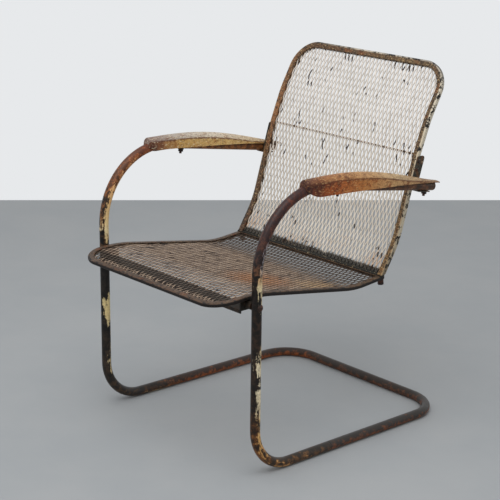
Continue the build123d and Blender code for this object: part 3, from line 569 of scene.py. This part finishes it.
def cover_paint(name, crown, flange, crown_worn, crown_stain, flange_worn, flange_stain, fleck):
    """Weathered paint with a different finish on the crown and on the flanges, and rust along the crease."""
    g = Graph(name)
    rest, tone = g.attribute("rest"), g.attribute("tone", "Fac")
    share = g.math("ADD", g.attribute("share", "Fac"),
                   g.math("MULTIPLY", g.math("SUBTRACT", g.noise(rest, 55.0, 4.0), 0.5), 0.12))
    long_way = g.scaled(rest, (1.0, 0.3, 1.0))
    patch = g.noise(rest, 70.0, 7.0, 0.68, 0.5)
    grain = g.noise(long_way, 260.0, 6.0, 0.68)
    fine = g.noise(rest, 700.0, 4.0, 0.7)
    top = g.mix(g.mask(g.math("ADD", patch, g.ramp(share, crown_worn)), 0.50, 0.78),
                g.ramp(share, crown), g.ramp(share, crown_stain))
    side = g.mix(g.mask(g.math("ADD", patch, g.ramp(share, flange_worn)), 0.50, 0.72),
                 g.ramp(share, flange), g.ramp(share, flange_stain))
    edge = g.math("ADD", tone, g.math("MULTIPLY", g.math("SUBTRACT", patch, 0.5), 0.25))
    colour = g.mix(g.mask(edge, -0.03, 0.05), side, top)
    bend = g.math("ABSOLUTE", g.math("ADD", tone, g.math("MULTIPLY", g.math("SUBTRACT", patch, 0.5), 0.3)))
    crease = g.math("SUBTRACT", 1.0, g.mask(bend, 0.02, 0.16))
    colour = g.mix(g.math("MULTIPLY", crease, 0.75), colour, (92, 48, 30))
    colour = g.mix(g.math("MULTIPLY", g.mask(grain, 0.48, 0.66), 0.6), colour, (104, 62, 36))
    pits = g.noise(rest, 330.0, 4.0, 0.66)
    colour = g.mix(g.math("MULTIPLY", g.mask(pits, 0.55, 0.65), 0.75), colour, (70, 42, 28))
    colour = g.mix(g.math("MULTIPLY", g.mask(g.noise(long_way, 410.0, 4.0, 0.66), 0.56, 0.66), 0.7), colour, fleck)
    colour = g.mix(g.mask(fine, 0.58, 0.72), colour, (46, 31, 25))
    rough = g.math("ADD", g.math("MULTIPLY", patch, 0.4), 0.32)
    height = g.math("ADD", g.math("MULTIPLY", patch, 0.6), g.math("MULTIPLY", fine, 0.5))
    return g.finish(colour, rough, height)


NEAR_COVER = cover_paint(
    "left arm cover paint",
    [(0.0, (84, 48, 40)), (0.10, (144, 92, 56)), (0.25, (176, 124, 76)), (0.45, (186, 146, 100)),
     (0.65, (192, 166, 128)), (1.0, (126, 96, 70))],
    [(0.0, (66, 34, 32)), (0.06, (118, 56, 34)), (0.20, (180, 94, 42)), (0.40, (196, 130, 70)),
     (0.62, (208, 166, 114)), (0.80, (178, 138, 98)), (1.0, (112, 82, 60))],
    [(0.0, 0.12), (0.3, 0.06), (1.0, 0.05)],
    [(0.0, (56, 30, 29)), (0.3, (98, 56, 36)), (0.7, (122, 96, 70)), (1.0, (76, 54, 42))],
    [(0.0, 0.12), (0.3, 0.04), (1.0, 0.06)],
    [(0.0, (46, 25, 25)), (0.2, (92, 44, 30)), (0.5, (156, 78, 34)), (1.0, (78, 52, 40))], (216, 178, 120),
)
FAR_COVER = cover_paint(
    "right arm cover paint",
    [(0.0, (132, 112, 104)), (0.2, (176, 166, 154)), (0.5, (204, 192, 172)), (0.8, (196, 174, 140)),
     (1.0, (146, 114, 82))],
    [(0.0, (92, 58, 48)), (0.08, (150, 100, 66)), (0.20, (208, 166, 98)), (0.6, (226, 192, 126)),
     (1.0, (184, 138, 84))],
    [(0.0, 0.05), (0.3, -0.06), (1.0, 0.02)],
    [(0.0, (92, 58, 50)), (0.4, (150, 106, 70)), (1.0, (112, 72, 46))],
    [(0.0, 0.10), (0.3, -0.02), (1.0, 0.02)],
    [(0.0, (70, 40, 38)), (0.25, (170, 104, 50)), (1.0, (152, 90, 42))], (240, 224, 188),
)
add_cover("left", 1, NEAR_COVER)
add_cover("right", -1, FAR_COVER)


# Seat and back panels

class Panel:
    """A bent sheet: u across the chair, v along its straight chord, w out of its upper or front face."""

    def __init__(self, line, radii, origin, way):
        points, tangents, _ = rounded_line(self.stretched(line), radii, PANEL_STEP)
        self.v = (points - np.array(origin)) @ np.array(way)
        self.points = points
        self.normals = np.stack([-tangents[:, 1], tangents[:, 0]], 1)

    @staticmethod
    def stretched(line, extra=20.0):
        """The line with both ends drawn out, so that places beyond them can be found."""
        line = [np.array(p, float) for p in line]
        first = line[0] - unit(line[1] - line[0]) * extra
        last = line[-1] + unit(line[-1] - line[-2]) * extra
        return [first, *line[1:-1], last]

    def place(self, u, v, w):
        y = np.interp(v, self.v, self.points[:, 0]) + w * np.interp(v, self.v, self.normals[:, 0])
        z = np.interp(v, self.v, self.points[:, 1]) + w * np.interp(v, self.v, self.normals[:, 1])
        return np.stack([np.broadcast_to(u, y.shape), y, z], -1)


TAIL_ANGLE = math.atan2(SEAT_LINE[3][1] - SEAT_LINE[2][1], SEAT_LINE[3][0] - SEAT_LINE[2][0])


def seat_tail(inwards, above):
    """Depth and height at a place forward of the seat's rear end, and above its sheet."""
    c, s = math.cos(TAIL_ANGLE), math.sin(TAIL_ANGLE)
    return SEAT_LINE[3][0] - inwards * c - above * s, SEAT_LINE[3][1] - inwards * s + above * c


BACK_LINE = [seat_tail(BACK_SETBACK, FOOT_TOP)]
for rise, lean in zip(BACK_RISES, BACK_LEANS):
    y, z = BACK_LINE[-1]
    BACK_LINE.append((y + rise * math.tan(math.radians(lean)), z + rise))
BACK_SPAN = np.array(BACK_LINE[-1]) - np.array(BACK_LINE[0])
BACK_LENGTH = float(np.linalg.norm(BACK_SPAN))
FOOT_LEAN = math.radians(BACK_LEANS[0])
FOOT_SLANT = math.tan(FOOT_LEAN + TAIL_ANGLE) * math.cos(FOOT_LEAN - math.atan2(*BACK_SPAN))
SEAT_FRONT, SEAT_REAR = SEAT_LINE[0][0], SEAT_LINE[3][0]
SEAT = Panel(SEAT_LINE, SEAT_RADII, (0, 0), (1, 0))
BACK = Panel(BACK_LINE, BACK_RADII, BACK_LINE[0], unit(BACK_SPAN))


def rounded_end(u, radius, inset):
    """How far a rounded corner draws a panel's end in at a place across it."""
    over = np.maximum(np.abs(u) - (PANEL_X - radius), 0.0)
    bend = radius - inset
    return radius - np.sqrt(np.maximum(bend**2 - np.minimum(over, bend)**2, 0.0))


def add_net(name, panel, low, high, start, strand, tilt, seed, material, slot):
    """Expanded metal: slit strands that zigzag from bond to bond, each leaning by the same angle."""
    rng = np.random.default_rng(seed)
    half_u, half_v = DIAMOND_ACROSS / 2, DIAMOND_ALONG / 2
    columns = int((PANEL_X - NET_INSET) / half_u)
    c, s = math.cos(tilt), math.sin(tilt)
    across = np.array([c, s]) * strand[0] / 2
    through = np.array([-s, c]) * strand[1] / 2
    section = [across + through, -across + through, -across - through, across - through]
    joined = across * BOND_OVERLAP
    places, faces, flanks, chips, edges, ups = [], [], [], [], [], []
    for i in range(-columns, columns):
        middle = (i + 0.5) * half_u
        v_low, v_high = float(low(middle)), float(high(middle))
        first, last = int((v_low - start) / half_v) - 1, int((v_high - start) / half_v) + 1
        stations = []
        for j in range(first, last + 1):
            at_left = (i + j) % 2 == 0
            bond = np.array([i * half_u, 0.0]) + joined if at_left else np.array([(i + 1) * half_u, 0.0]) - joined
            before, after = rng.random(), rng.random()
            v = start + j * half_v
            stations.append((v - BOND / 2, *bond, before if j == first else stations[-1][3]))
            stations.append((v + BOND / 2, *bond, after))
        table = np.array(stations)
        inside = table[(table[:, 0] > v_low) & (table[:, 0] < v_high)]
        ends = [[v, *(np.interp(v, table[:, 0], table[:, k]) for k in (1, 2, 3))] for v in (v_low, v_high)]
        table = np.vstack([ends[0], inside, ends[1]])
        begin = len(places)
        for v, u, w, chip in table:
            for du, dw in section:
                places.append(panel.place(np.array(u + du), np.array(v), np.array(w + dw)))
                chips.append(chip)
                edges.append(min(v - v_low, v_high - v, PANEL_X - abs(u)))
                ups.append(v - start)
        faces += [face[::-1] for face in grid_faces(len(table), 4, False, begin)]
        faces += [[begin, begin + 1, begin + 2, begin + 3], [len(places) - 1 - k for k in range(4)]]
        flanks += [0, 1, 0, 1] * (len(table) - 1) + [1, 1]
    made = add_piece(name, places, faces, material, slot, crease=30, flank=flanks, chip=chips,
                     edge=np.array(edges) * MM, up=np.array(ups) * MM)
    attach(made, "seat_unit")
    return made


def rim_section(thickness):
    """Closed section of the folded channel: (inwards, above), starting at the middle of its outer wall."""
    half, groove = thickness / 2, GROOVE / 2
    upper = [(0.0, 0.0)]
    for k in range(6):
        a = math.pi / 2 * k / 5
        upper.append((RIM_ROUND * (1 - math.cos(a)), half - RIM_ROUND * (1 - math.sin(a))))
    upper += [(RIM_MIDDLE, half), (RIM_WIDTH - LIP_R, half), (RIM_WIDTH - LIP_MID, half - LIP_MID),
              (RIM_WIDTH, half - LIP_R), (RIM_WIDTH, groove + GROOVE_EDGE[1]),
              (RIM_WIDTH - GROOVE_EDGE[0], groove), (RIM_WALL, groove)]
    lower = [(a, -b) for a, b in upper[1:]][::-1]
    return upper + lower


def add_rim(name, panel, thickness, corners, radii, turn, closed, material, slot):
    """The channel swept round a panel's outline and bent with the panel, open ends cut along the rail's foot."""
    points, tangents, lengths = rounded_line(corners, radii, RIM_STEP)
    if closed:
        points, tangents, lengths = points[:-1], tangents[:-1], lengths[:-1]
    section = rim_section(thickness)
    inward = turn * np.stack([-tangents[:, 1], tangents[:, 0]], 1)
    rows, width = len(points), len(section)
    places, across, along = [], [], []
    for row, (p, n, s) in enumerate(zip(points, inward, lengths)):
        open_end = not closed and row in (0, rows - 1)
        for a, b in section:
            u, v = p + n * a
            for (cu, cv), radius in zip(corners[1:-1], radii):
                if a > radius and abs(cu - p[0]) < radius and abs(cv - p[1]) < radius:
                    u, v = cu - math.copysign(a, cu), cv - a
            if open_end:
                v -= b * FOOT_SLANT
            places.append(panel.place(np.array(u), np.array(v), np.array(b)))
            across.append(a / RIM_WIDTH)
            along.append(s * MM)
    faces = grid_faces(rows, width, closed)
    if not closed:
        for row in (0, rows - 1):
            f = row * width
            quads = [[f + k, f + k + 1, f + width - k - 1, f + (width - k) % width] for k in range(1, width // 2)]
            cap = [[f, f + 1, f + width - 1]] + quads
            faces += cap if row else [face[::-1] for face in cap]
    if turn > 0:
        faces = [face[::-1] for face in faces]
    made = add_piece(name, places, faces, material, slot, crease=45, across=across, along=along)
    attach(made, "seat_unit")
    return made


def net_paint(name, light, between, shadow, chip_at, spared, rust, tint_and_shade_bands, flank, stains):
    """Chalky or dark paint on strands, darker on their cut sides with worn paint and painted shade, some chipped
    bare, with rust in patches.
    """
    g = Graph(name)
    rest, chip, up = g.attribute("rest"), g.attribute("chip", "Fac"), g.attribute("up", "Fac")
    patch = g.noise(rest, 14.0, 5.0, 0.6)
    blot = g.noise(rest, 60.0, 5.0, 0.65)
    fine = g.noise(rest, 520.0, 4.0, 0.65)
    colour = g.mix(g.mask(g.math("ADD", g.math("MULTIPLY", blot, 0.6), g.math("MULTIPLY", chip, 0.4)), 0.35, 0.68),
                   light, between)
    rusty = g.math("ADD", g.math("MULTIPLY", fine, 0.3), g.ramp(up, rust[0]))
    rusty = g.math("ADD", g.math("MULTIPLY", patch, 0.7), rusty)
    colour = g.mix(g.math("MULTIPLY", g.mask(rusty, 0.62, 0.80), 0.85), colour, rust[1])
    for centre, reach, stain in stains:
        away = g.node("ShaderNodeVectorMath", {"operation": "DISTANCE"}, {0: rest, 1: centre}).outputs["Value"]
        spread = g.math("ADD", away, g.math("MULTIPLY", g.math("SUBTRACT", blot, 0.5), reach))
        share = g.math("MULTIPLY", g.math("SUBTRACT", 1.0, g.mask(spread, 0.1 * reach, reach)), 0.6)
        colour = g.mix(share, colour, stain)
    wander = g.math("ADD", up, g.math("MULTIPLY", g.math("SUBTRACT", blot, 0.5), 0.03))
    for stops, tint in tint_and_shade_bands:
        colour = g.mix(g.ramp(wander, stops), colour, tint)
    # Cut sides of the strands: worn paint and painted shade on the faces turned from the light
    cut = g.math("MULTIPLY", g.attribute("flank", "Fac"), flank[0])
    colour = g.mix(cut, colour, flank[1])
    bare = g.math("ADD", g.math("MULTIPLY", chip, 0.5), g.math("MULTIPLY", patch, 0.9))
    near = g.math("MULTIPLY", g.math("SUBTRACT", 1.0, g.mask(g.attribute("edge", "Fac"), 0.012, 0.04)), 0.10)
    bare = g.math("SUBTRACT", g.math("ADD", bare, near), g.ramp(up, spared))
    colour = g.mix(g.mask(bare, chip_at, chip_at + 0.05), colour, shadow)
    colour = g.mix(g.math("MULTIPLY", g.mask(fine, 0.58, 0.75), 0.5), colour, shadow)
    rough = g.math("ADD", g.math("MULTIPLY", blot, 0.4), 0.35)
    return g.finish(colour, rough, g.math("ADD", fine, blot), bump=0.3, depth=0.0004)


def rim_paint(name, total, outer, fold_paint_and_highlight, band, rust, fleck):
    """Folded rim: outer wall, worn fold with a painted highlight along it, and speckled band, each changing along
    the rim.
    """
    g = Graph(name)
    rest, across = g.attribute("rest"), g.attribute("across", "Fac")
    along = g.math("MULTIPLY", g.attribute("along", "Fac"), 1 / total)
    patch = g.noise(rest, 42.0, 6.0, 0.65, 0.3)
    blot = g.noise(rest, 150.0, 6.0, 0.68)
    fine = g.noise(rest, 640.0, 4.0, 0.7)
    flake = g.noise(rest, 330.0, 3.0, 0.6)
    scab = g.noise(rest, 95.0, 7.0, 0.72)
    edge = g.math("ADD", across, g.math("MULTIPLY", g.math("SUBTRACT", blot, 0.5), 0.22))
    inner = g.mix(g.math("MULTIPLY", g.mask(blot, 0.44, 0.58), 0.8), g.ramp(along, band), (40, 31, 25))
    inner = g.mix(g.math("MULTIPLY", g.mask(patch, 0.54, 0.68), 0.6), inner, rust)
    inner = g.mix(g.math("MULTIPLY", g.mask(flake, 0.58, 0.66), 0.8), inner, fleck)
    # The fold's colour is worn paint with a painted highlight along the rounded shoulder
    colour = g.mix(g.mask(edge, 0.02, 0.09), g.ramp(along, outer), g.ramp(along, fold_paint_and_highlight))
    black = g.math("MULTIPLY", g.mask(scab, 0.51, 0.56), g.math("SUBTRACT", 0.9, g.mask(edge, 0.24, 0.44)))
    colour = g.mix(g.mask(edge, 0.20, 0.34), colour, inner)
    colour = g.mix(g.mask(black, 0.0, 0.9), colour, (27, 22, 20))
    colour = g.mix(g.mask(fine, 0.56, 0.70), colour, (34, 26, 22))
    rough = g.math("ADD", g.math("MULTIPLY", patch, 0.4), 0.30)
    return g.finish(colour, rough, g.math("ADD", g.math("MULTIPLY", blot, 0.8), fine))


seat_net = net_paint(
    "seat mesh paint", (172, 150, 130), (126, 107, 92), (48, 36, 28), 0.93, [(0.0, 0.0), (1.0, 0.0)],
    ([(0.0, 0.0), (0.5, 0.02)], (176, 106, 50)),
    # A dark band 26–64 mm behind the seat's front is painted shade where the strands pass over the crossbar; from
    # 0.36 m back the strands are darker
    [([(0.0, 0.0), (0.026, 0.0), (0.033, 0.85), (0.056, 0.85), (0.064, 0.0), (1.0, 0.0)], (42, 36, 30)),
     ([(0.0, 0.0), (0.36, 0.0), (0.44, 0.85), (1.0, 0.85)], (58, 47, 39))], (0.96, (30, 24, 21)),
    [((0.13, -0.14, 0.39), 0.11, (184, 116, 58)), ((0.22, -0.03, 0.385), 0.10, (194, 158, 112))],
)
back_net = net_paint(
    "back mesh paint", (230, 222, 213), (208, 199, 189), (58, 42, 30), 0.94,
    [(0.0, 0.03), (0.18, 0.03), (0.27, 0.0), (1.0, 0.0)],
    ([(0.0, 0.24), (0.03, 0.17), (0.09, -0.04), (0.3, -0.10), (0.52, -0.08)], (186, 130, 78)),
    [([(0.0, 0.35), (0.20, 0.35), (0.32, 0.15), (0.5, 0.0)], (222, 209, 187)),
     # The dark band on the lowest 11–14 mm of strands is painted shade where the strands stand in the lower rail
     ([(0.0, 0.95), (0.011, 0.95), (0.014, 0.0), (1.0, 0.0)], (50, 50, 46))], (0.6, (112, 99, 90)), [],
)
seat_edge = rim_paint(
    "seat rim paint", 1.95,
    [(0.0, (30, 25, 22)), (0.5, (28, 22, 20)), (1.0, (30, 25, 22))],
    [(0.0, (98, 78, 58)), (0.5, (84, 62, 46)), (1.0, (90, 72, 54))],
    [(0.0, (92, 72, 54)), (0.5, (80, 60, 46)), (1.0, (86, 68, 52))],
    (112, 62, 36), (140, 116, 86),
)
back_edge = rim_paint(
    "back rim paint", 1.46,
    [(0.0, (120, 108, 88)), (0.08, (200, 188, 164)), (0.30, (214, 204, 184)), (0.35, (58, 54, 52)),
     (0.42, (34, 30, 28)), (0.66, (30, 27, 26)), (0.75, (110, 84, 58)), (0.86, (64, 62, 62)), (1.0, (52, 54, 57))],
    # The fold: its cream stops are a painted highlight along the back rim's shoulder
    [(0.0, (160, 132, 94)), (0.30, (224, 212, 188)), (0.36, (150, 140, 128)), (0.50, (206, 196, 178)),
     (0.62, (96, 84, 72)), (0.72, (178, 132, 86)), (0.84, (140, 112, 80)), (1.0, (92, 84, 76))],
    [(0.0, (140, 106, 66)), (0.20, (110, 86, 60)), (0.33, (96, 76, 56)), (0.42, (116, 92, 64)),
     (0.52, (104, 78, 56)), (0.62, (96, 70, 50)), (0.70, (118, 86, 58)), (0.78, (150, 102, 66)),
     (0.88, (112, 86, 62)), (1.0, (92, 66, 50))],
    (132, 78, 42), (206, 178, 130),
)


def net_end(u, radius):
    """How far from a panel's rounded end its net begins at a place across it."""
    return rounded_end(u, radius, NET_INSET) if abs(u) > PANEL_X - radius else NET_INSET


def seat_low(u):
    return SEAT_FRONT + net_end(u, SEAT_CORNERS[0])


def seat_high(u):
    return SEAT_REAR - NET_INSET


def back_low(u):
    return BACK_NET_FOOT


def back_high(u):
    return BACK_LENGTH - net_end(u, BACK_CORNER_R)


made = add_net(
    "net_seat", SEAT, seat_low, seat_high, SEAT_FRONT, SEAT_STRAND, SEAT_TILT, SEAT_SEED, seat_net, "seat_mesh"
)
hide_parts("seat_mesh")
made = add_net(
    "net_back", BACK, back_low, back_high, 0.0, BACK_STRAND, BACK_TILT, BACK_SEED, back_net, "back_mesh"
)
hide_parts("back_mesh")
made = add_rim(
    "rim_seat", SEAT, SEAT_RIM_THICKNESS,
    [(0, SEAT_REAR), (PANEL_X, SEAT_REAR), (PANEL_X, SEAT_FRONT),
     (-PANEL_X, SEAT_FRONT), (-PANEL_X, SEAT_REAR), (0, SEAT_REAR)],
    [SEAT_CORNERS[1], SEAT_CORNERS[0], SEAT_CORNERS[0], SEAT_CORNERS[1]], -1, True, seat_edge, "seat_edge",
)
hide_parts("seat_rim")
made = add_rim(
    "rim_back", BACK, BACK_RIM_THICKNESS,
    [(PANEL_X, 0), (PANEL_X, BACK_LENGTH), (-PANEL_X, BACK_LENGTH), (-PANEL_X, 0)],
    [BACK_CORNER_R, BACK_CORNER_R], 1, False, back_edge, "back_edge",
)
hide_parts("back_rim")


# Carried-over CAD pieces

def metal_paint(name, dark, rust, coat, rusty, coated, scale=1.0):
    """Old paint on a plain solid: dark, rust in patches and a light coat in spots."""
    g = Graph(name)
    where = g.place()
    patch = g.noise(where, 70.0 * scale, 6.0, 0.66, 0.4)
    blot = g.noise(where, 190.0 * scale, 5.0, 0.66)
    fine = g.noise(where, 640.0, 4.0, 0.7)
    colour = g.mix(g.mask(g.math("ADD", patch, g.math("MULTIPLY", fine, 0.2)), rusty, rusty + 0.16), dark, rust)
    spots = g.mask(blot, coated, coated + 0.05)
    colour = g.mix(spots, colour, coat)
    colour = g.mix(g.mask(fine, 0.62, 0.78), colour, (28, 22, 20))
    rough = g.math("ADD", g.math("MULTIPLY", patch, 0.4), 0.32)
    return g.finish(colour, rough, g.math("ADD", g.math("MULTIPLY", spots, 0.6), fine))


CAD_LOOKS = [
    (metal_paint("lower rail paint", (40, 40, 37), (96, 66, 44), (206, 184, 144), 0.74, 0.60),
     ["back_lower_rail"]),
    (metal_paint("crossbar paint", (34, 30, 25), (62, 46, 34), (150, 128, 96), 0.60, 0.70),
     ["seat_crossbar", "left_leg_spacer", "right_leg_spacer"]),
    (metal_paint("stiffener paint", (96, 74, 52), (126, 84, 48), (220, 206, 180), 0.52, 0.58),
     ["back_stiffener_rod"]),
    (metal_paint("bracket paint", (52, 52, 46), (104, 72, 46), (206, 192, 164), 0.58, 0.60),
     ["left_back_bracket", "right_back_bracket"]),
    (metal_paint("fastener rust", (36, 28, 25), (84, 50, 36), (150, 120, 92), 0.55, 0.70, 2.0),
     ["arm_studs", "arm_washers", "arm_nuts", "leg_bolts", "leg_washers", "leg_nuts", "bracket_rivets",
      "corner_bolts", "corner_bushes"]),
]
for look, nodes in CAD_LOOKS:
    for node in nodes:
        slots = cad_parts[node].data.materials
        slots.clear()
        slots.append(look)


# Camera at the photograph's place

AZIMUTH, ELEVATION, ROLL = math.radians(47.359), math.radians(15.992), math.radians(1.680)
CAMERA_AT = Vector((2.3629, -2.2279, 1.3400))
FRAME_PX = 500            # width of the photograph
FOCAL_PX = 1425.03
FLOOR_ROW = 200           # row at which its floor ends
SENSOR = 36.0
back_way = Vector((
    math.sin(AZIMUTH) * math.cos(ELEVATION), -math.cos(AZIMUTH) * math.cos(ELEVATION), math.sin(ELEVATION)
))
right_way = Vector((math.cos(AZIMUTH), math.sin(AZIMUTH), 0.0))
up_way = back_way.cross(right_way)
right = right_way * math.cos(ROLL) + up_way * math.sin(ROLL)
up = up_way * math.cos(ROLL) - right_way * math.sin(ROLL)
lens = bpy.data.cameras.new("camera")
lens.sensor_width = SENSOR
lens.lens = SENSOR * FOCAL_PX / FRAME_PX
camera = bpy.data.objects.new("camera", lens)
camera.matrix_world = Matrix((
    (right.x, up.x, back_way.x, CAMERA_AT.x),
    (right.y, up.y, back_way.y, CAMERA_AT.y),
    (right.z, up.z, back_way.z, CAMERA_AT.z),
    (0, 0, 0, 1),
))
bpy.context.scene.collection.objects.link(camera)
bpy.context.scene.camera = camera


# Floor, background and light

def floor_edge(px):
    """Floor point behind the chair where the photograph's floor ends."""
    middle = FRAME_PX / 2
    ray = -back_way + right * (px - middle) / FOCAL_PX + up * (middle - FLOOR_ROW) / FOCAL_PX
    return CAMERA_AT + ray * (-CAMERA_AT.z / ray.z)


g = Graph("floor")
where = g.node("ShaderNodeNewGeometry", {}, {}).outputs["Position"]
worn = g.noise(where, 3.0, 6.0, 0.6)
colour = g.mix(g.mask(worn, 0.3, 0.7), (157, 161, 164), (163, 166, 168))
floor_look = g.finish(colour, g.math("ADD", g.math("MULTIPLY", worn, 0.2), 0.6), worn, bump=0.05, specular=0.2)
left_end, right_end = floor_edge(0), floor_edge(FRAME_PX)
span = (right_end - left_end).normalized()
front = Vector((span.y, -span.x, 0.0))
middle = (left_end + right_end) / 2
REACH = 9.0               # half the width of the floor
FLOOR_DROP = 0.0005       # below the tubes, so that no faces lie in one plane
corners = [middle - span * REACH, middle + span * REACH, middle + span * REACH + front * 2 * REACH,
           middle - span * REACH + front * 2 * REACH]
mesh = bpy.data.meshes.new("floor")
mesh.from_pydata([(c.x, c.y, -FLOOR_DROP) for c in corners], [], [[0, 3, 2, 1]])
mesh.materials.append(floor_look)
floor = bpy.data.objects.new("floor", mesh)
bpy.context.scene.collection.objects.link(floor)

SKY_STRENGTH = 0.62
WALL_COLOUR = (231, 233, 235)
world = bpy.data.worlds.new("studio")
bpy.context.scene.world = world
world.use_nodes = True
nodes, links = world.node_tree.nodes, world.node_tree.links
nodes.clear()
path = nodes.new("ShaderNodeLightPath")
seen = nodes.new("ShaderNodeMath")
seen.operation = "MAXIMUM"
links.new(path.outputs["Is Camera Ray"], seen.inputs[0])
links.new(path.outputs["Is Glossy Ray"], seen.inputs[1])
seen_all = nodes.new("ShaderNodeMath")
seen_all.operation = "MAXIMUM"
links.new(seen.outputs[0], seen_all.inputs[0])
links.new(path.outputs["Is Transmission Ray"], seen_all.inputs[1])
soft = nodes.new("ShaderNodeBackground")
soft.inputs["Color"].default_value = (1.0, 1.0, 1.0, 1.0)
soft.inputs["Strength"].default_value = SKY_STRENGTH
wall = nodes.new("ShaderNodeBackground")
wall.inputs["Color"].default_value = linear(WALL_COLOUR)
wall.inputs["Strength"].default_value = 1.0
either = nodes.new("ShaderNodeMixShader")
links.new(seen_all.outputs[0], either.inputs[0])
links.new(soft.outputs[0], either.inputs[1])
links.new(wall.outputs[0], either.inputs[2])
output = nodes.new("ShaderNodeOutputWorld")
links.new(either.outputs[0], output.inputs["Surface"])


def add_lamp(name, at, target, size, watts):
    lamp = bpy.data.lights.new(name, "AREA")
    lamp.shape = "SQUARE"
    lamp.size = size
    lamp.energy = watts
    made = bpy.data.objects.new(name, lamp)
    made.location = at
    made.rotation_euler = (Vector(target) - Vector(at)).to_track_quat("-Z", "Y").to_euler()
    bpy.context.scene.collection.objects.link(made)


add_lamp("overhead lamp", at=(0.6, -1.2, 3.2), target=(0, 0, 0.4), size=2.6, watts=62.0)

bpy.context.scene.view_settings.view_transform = "Standard"
